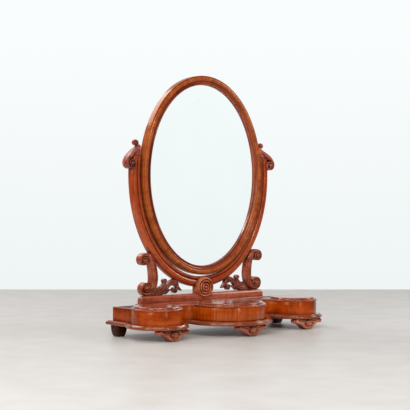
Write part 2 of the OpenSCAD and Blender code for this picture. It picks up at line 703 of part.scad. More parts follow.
// Section of an arm: [distance from its inner edge, depth behind its crown].
function arm_section(face) =
    let (roll = face - arm_bead)
    concat(
        [[0, yoke_depth], [0, 5], [arm_bead * 0.15, 2], [arm_bead * 0.5, 0.8],
         [arm_bead * 0.85, 2], [arm_bead, 5]],
        [for (k = [1:7])
            let (a = 180 * k / 7)
            [arm_bead + roll * (1 - cos(a)) / 2, (a < 90 ? 5 : 10) * (1 - sin(a))]],
        [[face, yoke_depth]]);
function arm_ring(a) = [
    for (s = arm_section(arm_face(a)))
        let (p = oval(a, arm_in + s.x))
        [p.x, s.y, p.y]];

pivot_z = oval(pivot_angle, arm_in).y;
arm_x = oval(pivot_angle, arm_in).x;
frame_x = oval(pivot_angle, frame_face).x;

function arm_hub(a) =
    let (p = oval(a, arm_in + arm_bead + 2))
    [p.x, yoke_depth - 2, p.y];

module right_arm() color(mahogany) place() difference() {
    loft([for (k = [0:arm_steps]) arm_ring(arm_angle(k))], [[0, 0]],
         [[arm_hub(-90)], [arm_hub(arm_head_angle)]]);
    translate([arm_x - 10, pivot_y, pivot_z]) rotate([0, 90, 0])
        cylinder(d = pin_d, h = pin_root_l + 10);
}
module left_arm() mirror([1, 0, 0]) right_arm();

// The arm's outline in front elevation, to scribe what is fitted against it.
function arm_outline() = concat(
    [for (k = [0:arm_steps]) oval(arm_angle(k), arm_in)],
    [for (k = [arm_steps:-1:0]) oval(arm_angle(k), arm_in + arm_face(arm_angle(k)))]);
// An arm's outer edge, out from the middle, at a height. Scrolls and leaves follow it.
function arm_edge_x(z) =
    let (out = arm_in + arm_root_face, up = (z - glass_z) / (glass_h / 2 + out))
    (glass_w / 2 + out) * sqrt(max(1 - up * up, 0));
module arm_space() board_xz(0, yoke_depth + 5) polygon(arm_outline());
module both_arm_outlines() {
    arm_space();
    mirror([1, 0, 0]) arm_space();
}

// ---- finials ----
volute_at = [arm_x + 38, pivot_z];
volute_r = 21;
curl_at = [arm_x + 10, pivot_z + 64];
curl_r = 10;
eye_out = 3;
// The band leans back as it rises: [height above the pivot up to which it reaches, its front].
finial_steps = [[32, -6], [46, 4], [90, 13]];
function finial_plan() = concat(
    [for (p = smooth_line([
        [2, 66, 0], [1, 38, 0], [1.5, 12, 0], [14, 9, 0], [24, 4, 0]], 4))
        [arm_x + p.x, pivot_z + p.y]],
    [for (p = smooth_line([
        [52, 15, 0], [46, 24, 0], [33, 34, 0], [18, 46, 0], [14, 54, 0], [17, 62, 0]], 4))
        [arm_x + p.x, pivot_z + p.y]]);
module right_finial() color(carved) place() difference() {
    union() {
        for (e = finial_steps)
            intersection() {
                board_xz(e[1], yoke_depth) polygon(finial_plan());
                translate([0, -10, pivot_z - 20]) cube([400, 100, 20 + e[0]]);
            }
        disc_xz(volute_at, volute_r, finial_steps[0][1], yoke_depth);
        disc_xz(volute_at, volute_r * 0.4, finial_steps[0][1] - eye_out, 0);
        disc_xz(curl_at, curl_r, finial_steps[2][1], yoke_depth);
    }
    arm_space();
}
module left_finial() mirror([1, 0, 0]) right_finial();

// ---- C-scrolls ----
scroll_top_r = 22;
scroll_foot_r = 25;
scroll_h = 138;
scroll_from_arm = 31.03534;
scroll_x = arm_edge_x(rail_top + 122) + scroll_from_arm;
scroll_foot_at = [scroll_x, rail_top + scroll_foot_r];
scroll_top_at = [scroll_x + 7, rail_top + scroll_h - scroll_top_r];
// Points are [across from the lower volute, height above the rail, half width].
scroll_line = [for (p = [
    [8, 132, 5], [-12, 130, 8], [-24, 110, 11], [-31, 80, 12.5], [-33, 54, 13], [-28, 28, 12],
    [-16, 10, 9], [0, 5, 5]])
    [scroll_x + p.x, rail_top + p.y, p.z]];
module scroll_body() {
    board_xz(0, yoke_depth) polygon(ribbon(scroll_line));
    disc_xz(scroll_top_at, scroll_top_r, 0, yoke_depth);
    disc_xz(scroll_foot_at, scroll_foot_r, 0, yoke_depth);
    disc_xz(scroll_top_at, scroll_top_r * 0.4, -eye_out, 1);
    disc_xz(scroll_foot_at, scroll_foot_r * 0.4, -eye_out, 1);
}
module below_rail_top() {
    translate([0, -10, rail_top - 20]) cube([400, 100, 20]);
}
module right_scroll() color(carved) place() difference() {
    scroll_body();
    arm_space();
    below_rail_top();
}
module left_scroll() mirror([1, 0, 0]) right_scroll();

// ---- leaf frets ----
fret_front = 5;
fret_back = 21;
fret_from_arm = 45.67032;
fret_x = arm_edge_x(rail_top + 45) + fret_from_arm;
// The leaves on the scroll's side stretch with the room between ball and scroll.
fret_room = 79;
fret_stretch = (scroll_x - fret_x) / fret_room;
// Points are [across from the fret's ball, height above the rail, half width].
fret_stem = [[54, 4, 4], [38, 9, 7], [22, 17, 8], [9, 30, 6], [2, 44, 4]];
fret_leaf = [[32, 6, 5], [11, 10, 7], [-4, 21, 7], [-18, 33, 7], [-33, 42, 7],
             [-46, 36, 5], [-50, 25, 4], [-48, 16, 4]];
function above_rail(pts) = [
    for (p = pts) [fret_x + p.x * (p.x > 0 ? fret_stretch : 1), rail_top + p.y, p.z]];
module right_leaf_fret() color(carved) place() difference() {
    union() {
        board_xz(fret_front, fret_back) polygon(ribbon(above_rail(fret_stem)));
        board_xz(fret_front, fret_back) polygon(ribbon(above_rail(fret_leaf)));
        disc_xz([fret_x, rail_top + 45], 9, fret_front - 1, fret_back);
        disc_xz([fret_x - 41, rail_top + 12], 12, fret_front - 1, fret_back);
    }
    arm_space();
    scroll_body();
    below_rail_top();
}
module left_leaf_fret() mirror([1, 0, 0]) right_leaf_fret();

// ---- mirror ----
frame_y = -frame_proud;
frame_steps = 80;
// Section of the frame: [distance from the sight edge, depth behind its crown].
function frame_section() =
    let (roll_at = frame_bead + frame_hollow)
    let (roll = frame_face - roll_at)
    concat(
        [[0, glass_set_back], [0, 8.5], [frame_bead * 0.2, 6.2], [frame_bead * 0.5, 5.5],
         [frame_bead * 0.85, 6.5], [frame_bead, 8]],
        [[frame_bead + frame_hollow * 0.35, 7], [frame_bead + frame_hollow * 0.7, 5], [roll_at, 3.4]],
        [for (k = [1:7])
            let (a = 180 * k / 7)
            [roll_at + roll * (1 - cos(a)) / 2, (a < 90 ? 3.4 : 11) * (1 - sin(a))]],
        [[frame_face, frame_depth], [rebate_w, frame_depth], [rebate_w, glass_set_back]]);
module frame_ring() {
    section = frame_section();
    n = len(section);
    points = [
        for (k = [0:frame_steps - 1])
            for (s = section)
                let (p = oval(360 * k / frame_steps, s.x))
                [p.x, frame_y + s.y, p.y]];
    faces = [
        for (k = [0:frame_steps - 1])
            for (i = [0:n - 1])
                let (a = k * n + i)
                let (b = k * n + (i + 1) % n)
                let (c = ((k + 1) % frame_steps) * n + i)
                let (d = ((k + 1) % frame_steps) * n + (i + 1) % n)
                each [[a, c, d], [a, d, b]]];
    polyhedron(points, faces);
}
function oval_outline(d) = [for (k = [0:frame_steps - 1]) oval(360 * k / frame_steps, d)];

back_screw_d = 3;
back_screw_head_d = 7;
back_screw_in = 8;
back_screw_count = 8;
back_screw_line = rebate_w + 6;
function back_screw_at(k) = oval(22.5 + 360 * k / back_screw_count, back_screw_line);

module mirror_frame() color(mahogany) place() difference() {
    frame_ring();
    for (s = [-1, 1])
        translate([s * (frame_x - bush_l), pivot_y, pivot_z]) rotate([0, s * 90, 0])
            cylinder(d = bush_d, h = bush_l + 10);
    for (k = [0:back_screw_count - 1])
        let (p = back_screw_at(k))
        disc_xz(p, back_screw_d / 2, frame_y + frame_depth - back_screw_in, frame_y + frame_depth + 1);
}

// How far the bush lies below the frame's edge, and the collar's play beside it.
bush_sink = 0.6;
collar_gap = 0.6;
module right_pivot_bush() color(brass) place()
    translate([frame_x - bush_l, pivot_y, pivot_z]) rotate([0, 90, 0]) difference() {
        cylinder(d = bush_d, h = bush_l - bush_sink);
        translate([0, 0, -1]) cylinder(d = pin_d + 2 * pin_clearance, h = bush_l + 2);
    }
module left_pivot_bush() mirror([1, 0, 0]) right_pivot_bush();

pin_nose = 10;
module right_pivot_pin() color(brass) place()
    translate([frame_x - pin_nose, pivot_y, pivot_z]) rotate([0, 90, 0]) {
        cylinder(d = pin_d, h = arm_x - frame_x + pin_nose + pin_root_l);
        translate([0, 0, arm_x - frame_x + pin_nose - collar_t - collar_gap])
            cylinder(d = collar_d, h = collar_t);
    }
module left_pivot_pin() mirror([1, 0, 0]) right_pivot_pin();

glass_fit = 0.5;
glass_y = frame_y + glass_set_back;
module mirror_glass() color(glass_tint) place()
    board_xz(glass_y, glass_y + glass_t) polygon(oval_outline(rebate_w - glass_fit));

// Glued blocks hold the glass against its ledge.
block_l = 24;
block_t = 5;
block_h = 10;
glazing_block_count = 8;
module glazing_blocks() color(pine) place() for (k = [0:glazing_block_count - 1]) {
    a = 360 * k / glazing_block_count;
    p = oval(a, rebate_w - 2 * glass_fit);
    toward = oval(a, rebate_w) - oval(a, 0);
    translate([p.x, glass_y + glass_t, p.y]) rotate([0, -atan2(toward.y, toward.x), 0])
        translate([-block_t, 0, -block_l / 2]) cube([block_t, block_h, block_l]);
}

backboard_edge = rebate_w + 11;
module backboard() color(pine) place() difference() {
    board_xz(frame_y + frame_depth, frame_y + frame_depth + backboard_t)
        polygon(oval_outline(backboard_edge));
    for (k = [0:back_screw_count - 1])
        disc_xz(back_screw_at(k), back_screw_d / 2, frame_y + frame_depth - 1,
                frame_y + frame_depth + backboard_t + 1);
}
back_screw_head_t = 1.5;
module backboard_screws() color(brass) place() for (k = [0:back_screw_count - 1]) {
    back = frame_y + frame_depth + backboard_t;
    disc_xz(back_screw_at(k), back_screw_d / 2, back - backboard_t - back_screw_in, back);
    disc_xz(back_screw_at(k), back_screw_head_d / 2, back, back + back_screw_head_t);
}

// ---- feet ----
foot_curl_r = 8;
screw_head_d = 9;
screw_head_t = 3;
screw_sink = 8;
function foot_half() = concat(
    [[0, 0], [14, 0]],
    [for (p = smooth_line([
        [18, 1, 0], [25, 8, 0], [32, 16, 0], [40, 20, 0], [foot_w / 2 - foot_curl_r, 21, 0]], 4))
        [p.x, p.y * foot_h / 36]],
    [[foot_w / 2, foot_h - 8], [foot_w / 2, foot_h]]);
module screw_hole(height) {
    translate([0, 0, -1]) cylinder(d = screw_head_d + 0.4, h = screw_sink + 1);
    cylinder(d = foot_screw_d, h = height + 1);
}
module front_foot(x, y) color(carved) place() difference() {
    translate([x, 0, 0]) union() {
        board_xz(y, y + foot_depth)
            polygon(concat(foot_half(), [for (p = reversed(foot_half())) if (p.x > 0) [-p.x, p.y]]));
        for (s = [-1, 1])
            disc_xz([s * (foot_w / 2 - foot_curl_r), foot_h - foot_curl_r - 1], foot_curl_r,
                    y - 2, y + foot_depth);
        disc_xz([0, foot_h * 0.62], boss_d / 2, y - boss_out, y + 1);
    }
    translate([x, y + foot_depth / 2, 0]) screw_hole(foot_h);
}
module left_front_foot() front_foot(-side_foot_x, side_foot_y);
module centre_front_foot() front_foot(0, centre_foot_y);
module right_front_foot() front_foot(side_foot_x, side_foot_y);

// Half sizes of a rear foot: [across, front to back, height as a part of the foot's].
rear_foot_rings = [[11, 12, 0], [14, 15, 0.08], [17.5, 19, 0.35], [19.5, 21, 0.65], [20, 22, 1]];
module right_rear_foot() color(dark_wood) place()
    translate([rear_foot_x, rear_foot_y, 0]) difference() {
        loft([for (r = rear_foot_rings)
            at_height(rounded_box(r.x, -r.y, r.y, r.x * 0.45, r.x * 0.45), r.z * foot_h)]);
        screw_hole(foot_h);
    }
module left_rear_foot() mirror([1, 0, 0]) right_rear_foot();

module foot_screws() color(brass) place() for (p = foot_screws_at)
    translate([p.x, p.y, screw_sink]) {
        translate([0, 0, -screw_head_t]) cylinder(d = screw_head_d, h = screw_head_t);
        cylinder(d = foot_screw_d, h = foot_h + foot_screw_up - screw_sink);
    }

plinth();
back_board();
left_end_panel();
right_end_panel();
left_front();
right_front();
left_top_board();
right_top_board();
left_partition();
right_partition();
drawer_runners();
drawer_stops();
left_well_cup();
right_well_cup();
centre_top();
left_lid();
right_lid();
left_hinge_fixed_leaf();
right_hinge_fixed_leaf();
left_hinge_lid_leaf();
right_hinge_lid_leaf();
left_hinge_pin();
right_hinge_pin();
fixed_leaf_screws();
left_lid_screws();
right_lid_screws();
drawer_front();
drawer_left_side();
drawer_right_side();
drawer_back();
drawer_bottom();
bolster_board();
bolster_screws();
rail();
centre_block();
roundel();
left_arm();
right_arm();
left_finial();
right_finial();
left_scroll();
right_scroll();
left_leaf_fret();
right_leaf_fret();
left_pivot_pin();
right_pivot_pin();
left_pivot_bush();
right_pivot_bush();
mirror_frame();
mirror_glass();
glazing_blocks();
backboard();
backboard_screws();
left_front_foot();
centre_front_foot();
right_front_foot();
left_rear_foot();
right_rear_foot();
foot_screws();
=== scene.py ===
# %% [markdown]
# # An oval toilet mirror in polished mahogany
# This is a mirror on a bowed base, of the sort that stood on a dressing chest.
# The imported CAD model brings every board, pin and screw in its right place, and this
# lesson gives it what a maker's eye sees next: mouldings with crisp profiles, carved
# scrolls, figured wood under shellac, worn brass and silvered glass.
#
# Sizes are in millimetres, and measured from the yoke's front face, because that is
# the face a maker marks out from. `joined` moves them into the frame's own place.

# %% Load the frame
import json
import math

import bpy
import numpy as np
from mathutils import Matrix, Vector


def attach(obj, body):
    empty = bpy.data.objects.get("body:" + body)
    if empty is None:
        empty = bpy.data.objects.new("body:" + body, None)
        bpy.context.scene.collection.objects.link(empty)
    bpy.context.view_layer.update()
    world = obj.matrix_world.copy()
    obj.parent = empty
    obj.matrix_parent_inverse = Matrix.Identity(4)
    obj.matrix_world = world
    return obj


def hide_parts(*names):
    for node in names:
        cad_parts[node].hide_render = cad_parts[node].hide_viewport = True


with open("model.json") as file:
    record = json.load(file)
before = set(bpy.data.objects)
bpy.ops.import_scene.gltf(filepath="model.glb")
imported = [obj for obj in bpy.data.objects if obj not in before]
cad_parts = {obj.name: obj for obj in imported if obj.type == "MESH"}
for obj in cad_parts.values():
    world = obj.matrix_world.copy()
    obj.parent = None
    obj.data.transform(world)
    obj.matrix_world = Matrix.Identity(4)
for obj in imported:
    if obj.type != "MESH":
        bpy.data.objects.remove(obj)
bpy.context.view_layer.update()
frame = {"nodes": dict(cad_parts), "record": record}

# %% [markdown]
# ## The view
# The mirror is seen from its front left, 38 degrees round, from four metres away and
# just above half its height, through a long lens, so uprights stay upright. A camera
# could be shifted to frame it, but a very small tilt does the same and suits other
# views.

# %% Camera
VIEW_TURN, AIM_RIGHT, AIM_UP = 38.0, 0.0725, -0.644
cam = bpy.data.cameras.new("camera")
cam.lens = 108.26
cam.sensor_width = 36
camera = bpy.data.objects.new("camera", cam)
bpy.context.scene.collection.objects.link(camera)
camera.location = (-2.5286, -3.1244, 0.461)
yaw = math.radians(VIEW_TURN + AIM_RIGHT)
pitch = math.radians(AIM_UP)
gaze = Vector((math.sin(yaw) * math.cos(pitch), math.cos(yaw) * math.cos(pitch), math.sin(pitch)))
camera.rotation_euler = gaze.to_track_quat("-Z", "Y").to_euler()
bpy.context.scene.camera = camera
bpy.context.scene.view_settings.view_transform = "Standard"
print("camera looks along", [round(c, 3) for c in gaze])

# %% [markdown]
# ## Writing a finish
# A finish is a tree of shader nodes. It could be wired by hand in the shader editor, but
# with a few helpers it reads like a recipe, and each finish can be made in a few lines.


# %% Nodes and materials
def add(tree, kind, **values):
    """One shader node. Each value goes to a setting, a named input, or input i0, i1 and so on."""
    node = tree.nodes.new(kind)
    for key, value in values.items():
        if hasattr(node, key):
            setattr(node, key, value)
            continue
        numbered = key[0] == "i" and key[1:].isdigit()
        socket = node.inputs[int(key[1:])] if numbered else node.inputs[key.replace("_", " ")]
        if isinstance(value, bpy.types.NodeSocket):
            tree.links.new(value, socket)
        else:
            socket.default_value = value
    return node


def new_material(name):
    """An empty material, its tree of nodes, and the maps that a finish can lie on."""
    mat = bpy.data.materials.new(name)
    mat.use_nodes = True
    tree = mat.node_tree
    tree.nodes.clear()
    return mat, tree, add(tree, "ShaderNodeTexCoord").outputs


def surface(mat, **values):
    """The shader that a finish ends in."""
    tree = mat.node_tree
    shader = add(tree, "ShaderNodeBsdfPrincipled", **values)
    add(tree, "ShaderNodeOutputMaterial", Surface=shader.outputs[0])
    print(f"{mat.name}: {len(tree.nodes)} nodes")


# %% [markdown]
# ## Colours, noise and relief
# Wood, tarnish and dust never repeat, so nearly all of a finish comes from noise: drawn
# out along the grain, made into colours by a ramp, and one colour multiplied by another.
# Images would repeat, and need a map without seams. Colours are given as a screen shows them, and a shader
# wants them linear.

# %% Colours, noise and relief
CLEAR = (1, 1, 1, 1)


def srgb(red, green, blue):
    """A screen's colour, from 0 to 255, as the linear numbers that shaders take."""
    return tuple((c / 255 / 12.92 if c / 255 <= 0.04045 else ((c / 255 + 0.055) / 1.055) ** 2.4)
                 for c in (red, green, blue)) + (1.0,)


def grey(value):
    """A grey, for a ramp that says how rough a surface is."""
    return (value, value, value, 1)


def ramp(tree, factor, *stops):
    """Colours along a scale: each stop is (place, colour)."""
    node = add(tree, "ShaderNodeValToRGB", Fac=factor)
    node.color_ramp.elements[0].position, node.color_ramp.elements[0].color = stops[0]
    node.color_ramp.elements[1].position, node.color_ramp.elements[1].color = stops[-1]
    for place, colour in stops[1:-1]:
        node.color_ramp.elements.new(place).color = colour
    return node.outputs[0]


def multiplied(tree, amount, colour, by):
    """A colour multiplied by another, as far as the amount says. By CLEAR, it stays as it is."""
    return add(tree, "ShaderNodeMix", data_type="RGBA", blend_type="MULTIPLY", i0=amount, i6=colour,
               i7=by).outputs[2]


def stretched(tree, coords, along, across):
    """A map for noise that is drawn out: a small scale along the grain, a larger one across it."""
    return add(tree, "ShaderNodeMapping", Vector=coords, Scale=(along, across, across)).outputs[0]


def noise(tree, coords, scale, detail, **values):
    """Cloudy noise over a map, from 0 to 1."""
    return add(tree, "ShaderNodeTexNoise", Vector=coords, Scale=scale, Detail=detail,
               **values).outputs["Fac"]


def relief(tree, height, strength, depth):
    """Small ups and downs in a surface, with their depth in metres."""
    return add(tree, "ShaderNodeBump", Strength=strength, Distance=depth, Height=height).outputs[0]


print("a screen's middle grey is", round(srgb(128, 128, 128)[0], 3), "to a shader")

# %% [markdown]
# ## The room
# One plain white world would do for the light, but its shine would lie on the wood like
# milk, and the reds would fade. So the world is bright to the camera and in the mirror
# glass, whose reflections are perfectly sharp. As a lamp it is half as bright, and in
# the blurred shine of the polish it is a dim room with one pale wall behind the mirror.

# %% World
TOWARDS_WALL = (0.616, 0.788, 0.0)
world = bpy.data.worlds.new("studio")
bpy.context.scene.world = world
world.use_nodes = True
tree = world.node_tree
tree.nodes.clear()
way = add(tree, "ShaderNodeTexCoord").outputs["Generated"]
height = add(tree, "ShaderNodeSeparateXYZ", Vector=way)
lift = add(tree, "ShaderNodeMapRange", Value=height.outputs["Z"], From_Min=-0.1, From_Max=0.12)
sky = ramp(tree, lift.outputs[0], (0.0, srgb(238, 243, 243)), (1.0, srgb(249, 253, 253)))
seen = add(tree, "ShaderNodeBackground", Color=sky, Strength=1.0)
lamp_like = add(tree, "ShaderNodeBackground", Color=srgb(250, 250, 250), Strength=0.45)
away = add(tree, "ShaderNodeVectorMath", operation="DOT_PRODUCT", i0=way, i1=TOWARDS_WALL)
behind = add(tree, "ShaderNodeMapRange", Value=away.outputs["Value"], From_Min=0.35, From_Max=0.9)
room = ramp(tree, behind.outputs[0], (0.0, srgb(84, 80, 76)), (1.0, srgb(226, 230, 232)))
in_gloss = add(tree, "ShaderNodeBackground", Color=room, Strength=1.0)
rays = add(tree, "ShaderNodeLightPath").outputs
direct = add(tree, "ShaderNodeMath", operation="MAXIMUM", i0=rays["Is Camera Ray"],
             i1=rays["Is Singular Ray"])
lit_or_gloss = add(tree, "ShaderNodeMixShader", i0=rays["Is Glossy Ray"], i1=lamp_like.outputs[0],
                   i2=in_gloss.outputs[0])
mix = add(tree, "ShaderNodeMixShader", i0=direct.outputs[0], i1=lit_or_gloss.outputs[0],
          i2=seen.outputs[0])
add(tree, "ShaderNodeOutputWorld", Surface=mix.outputs[0])
print("the world has", len(tree.nodes), "nodes")

# %% [markdown]
# ## The lamps
# Bare bulbs would draw small hard shines on the polish, so every lamp is a wide panel.
# The key hangs high at the front left. A narrow strip in front draws the long thin
# lights on the mouldings, and the others open the shadows.


# %% Lamps
def softbox(name, place, aim, size, power):
    """A panel of light at a place, turned to a point: metres and watts."""
    light = bpy.data.lights.new(name, "AREA")
    light.shape = "RECTANGLE"
    light.size, light.size_y = size
    light.energy = power
    lamp = bpy.data.objects.new(name, light)
    bpy.context.scene.collection.objects.link(lamp)
    lamp.location = place
    lamp.rotation_euler = (Vector(aim) - Vector(place)).to_track_quat("-Z", "Y").to_euler()
    print(f"{name}: {size[0]} x {size[1]} m, {power} W")


softbox("key_softbox", (-2.0, -2.2, 2.4), (0, 0, 0.35), (2.2, 0.5), 56)
softbox("strip_softbox", (-0.4, -3.0, 0.9), (0, 0, 0.45), (0.12, 1.6), 7)
softbox("window_softbox", (-3.0, -0.7, 1.3), (0, 0, 0.4), (1.0, 1.5), 22)
softbox("fill_softbox", (2.4, -1.4, 1.6), (0, 0, 0.4), (1.1, 1.1), 24)
softbox("back_softbox", (-0.6, 2.2, 2.4), (0, 0, 0.5), (1.6, 1.2), 26)

# %% [markdown]
# ## The floor
# The mirror stands on smooth pale stone. A backdrop could curve up behind it, but a
# square slab, turned to face the camera, ends in a straight line behind the mirror and
# leaves the rest to the world. It is a little cloudy, and just smooth enough to shine.

# %% Floor
FLOOR_HALF = 1.757
turn = math.radians(-VIEW_TURN)
corners = [(x * FLOOR_HALF, y * FLOOR_HALF) for x, y in ((-1, -1), (1, -1), (1, 1), (-1, 1))]
floor_mesh = bpy.data.meshes.new("floor")
floor_mesh.from_pydata([(x * math.cos(turn) - y * math.sin(turn),
                         x * math.sin(turn) + y * math.cos(turn), 0.0) for x, y in corners],
                       [], [(0, 1, 2, 3)])
floor = bpy.data.objects.new("floor", floor_mesh)
bpy.context.scene.collection.objects.link(floor)
stone, tree, maps = new_material("pale_stone_floor")
cloud = noise(tree, maps["Object"], 9.0, 6.0)
tint = ramp(tree, cloud, (0.3, srgb(211, 206, 200)), (0.7, srgb(221, 217, 212)))
surface(stone, Base_Color=tint, Roughness=0.4)
floor.data.materials.append(stone)
print("floor:", round(2 * FLOOR_HALF, 2), "m square")

# %% [markdown]
# ## Grain
# Old mahogany has broad stripes of lighter and darker wood, flames that ripple across
# them, and short dark pores. An image of wood could be wrapped on, but mixing these from
# noise lets each piece have grain that runs its own way: along a rail, round an arm, or
# across the veneer of a front.

# %% Grain
PORES_ALONG, PORES_ACROSS = 18.0, 620.0


def grain_colours(tree, coords, across, dark, middle, light, stripes, flame, pores):
    """The wood's colour, and its pores, with the grain along the map or across it."""
    laid = add(tree, "ShaderNodeMapping", Vector=coords,
               Rotation=(0, 0, math.pi / 2 if across else 0)).outputs[0]
    sway = add(tree, "ShaderNodeTexNoise", Vector=laid, Scale=7.0, Detail=2.0)
    bent = add(tree, "ShaderNodeVectorMath", operation="MULTIPLY_ADD", i0=sway.outputs["Color"],
               i1=(0.02, 0.02, 0.02), i2=laid).outputs[0]
    stripe = noise(tree, stretched(tree, bent, 2.5, stripes), 2.2, 5.0, Roughness=0.62)
    colour = ramp(tree, stripe, (0.34, srgb(*dark)), (0.5, srgb(*middle)), (0.68, srgb(*light)))
    ripple = noise(tree, stretched(tree, bent, 34.0, 7.0), 1.6, 3.0, Roughness=0.55, Distortion=0.6)
    lit = ramp(tree, ripple, (0.35, (0.55, 0.5, 0.45, 1)), (0.5, CLEAR), (0.7, (1.35, 1.28, 1.2, 1)))
    flamed = multiplied(tree, flame, colour, lit)
    pore = noise(tree, stretched(tree, bent, PORES_ALONG, PORES_ACROSS), 1.0, 2.0)
    open_pore = ramp(tree, pore, (0.34, (0.25, 0.2, 0.18, 1)), (0.5, CLEAR))
    return multiplied(tree, pores, flamed, open_pore), pore


print("a pore is about", round(PORES_ACROSS / PORES_ALONG), "times as long as it is wide")

# %% [markdown]
# ## Dirt, wear and painted light
# Dust and old polish stay in the corners of mouldings, and hands rub edges paler. The corners also get
# painted shade, darker than the lamps make them, and the edges get a painted highlight. Both could be
# painted on by hand. Ambient occlusion finds every corner and pointiness every edge, so the same few nodes
# suit each carving.

# %% Dirt, wear and painted light
DIRT_AND_SHADE_REACH = 0.01


def aged_with_painted_light(tree, colour, dirt_and_shade, wear_and_highlight):
    """The colour after long use, with painted light: dark in the corners, as dirt and painted shade, and
    pale on the edges, as wear and a painted highlight.
    """
    # Corners found by ambient occlusion are darkened: partly dirt, partly painted shade.
    shade = add(tree, "ShaderNodeAmbientOcclusion", samples=12, Distance=DIRT_AND_SHADE_REACH)
    deep = ramp(tree, shade.outputs["AO"], (0.3, (0.08, 0.045, 0.035, 1)),
                (0.62, (0.5, 0.42, 0.38, 1)), (0.9, CLEAR))
    dirtied_and_shaded = multiplied(tree, dirt_and_shade, colour, deep)
    # Edges found by pointiness are made paler: partly wear, partly a painted highlight.
    shape = add(tree, "ShaderNodeNewGeometry")
    worn_and_highlighted = ramp(tree, shape.outputs["Pointiness"], (0.51, CLEAR), (0.6, (1.5, 1.4, 1.3, 1)))
    return multiplied(tree, wear_and_highlight, dirtied_and_shaded, worn_and_highlighted)


print("dirt gathers within", 1000 * DIRT_AND_SHADE_REACH, "mm of a corner")

# %% [markdown]
# ## Shellac
# Shellac is rubbed on in many thin coats, so the gloss lies on top of the grain, the dirt and the painted
# shade. It is warm, uneven where hands have been, and follows the pores a little. A plain clear coat alone
# would look like new varnish.


# %% Shellac
def polished_wood(name, dark, middle, light, across=False, by_shape=True, stripes=26.0, flame=0.35,
                  pores=0.5, dirt_and_shade=0.6, wear_and_highlight=0.35, gloss=0.2, shine=0.7, coat=0.12, grainy=0.06):
    """Wood whose grain runs along a piece, or across it, under a coat of shellac."""
    mat, tree, maps = new_material(name)
    coords = maps["UV" if by_shape else "Object"]
    colour, pore = grain_colours(tree, coords, across, dark, middle, light, stripes, flame, pores)
    hands = noise(tree, maps["Object"], 24.0, 4.0)
    rough = ramp(tree, hands, (0.3, grey(gloss * 0.75)), (0.72, grey(gloss * 1.5)))
    surface(mat, Base_Color=aged_with_painted_light(tree, colour, dirt_and_shade, wear_and_highlight), Roughness=rough,
            Normal=relief(tree, pore, grainy, 0.0002), Coat_Weight=coat, Coat_Roughness=0.1,
            Specular_IOR_Level=shine, Specular_Tint=(1.0, 0.66, 0.42, 1.0))
    return mat


# %% [markdown]
# ## The wood of each piece
# No two pieces took the stain alike. The frame's veneer is light and runs across, the fronts are striped and
# flamed, the carving is dark in its hollows with dirt and painted shade, and the boards that no one dusts
# are dull. One material for all would be simpler, but here the same recipe gets other colours and amounts
# for each. Colours are dark, middle and light wood.

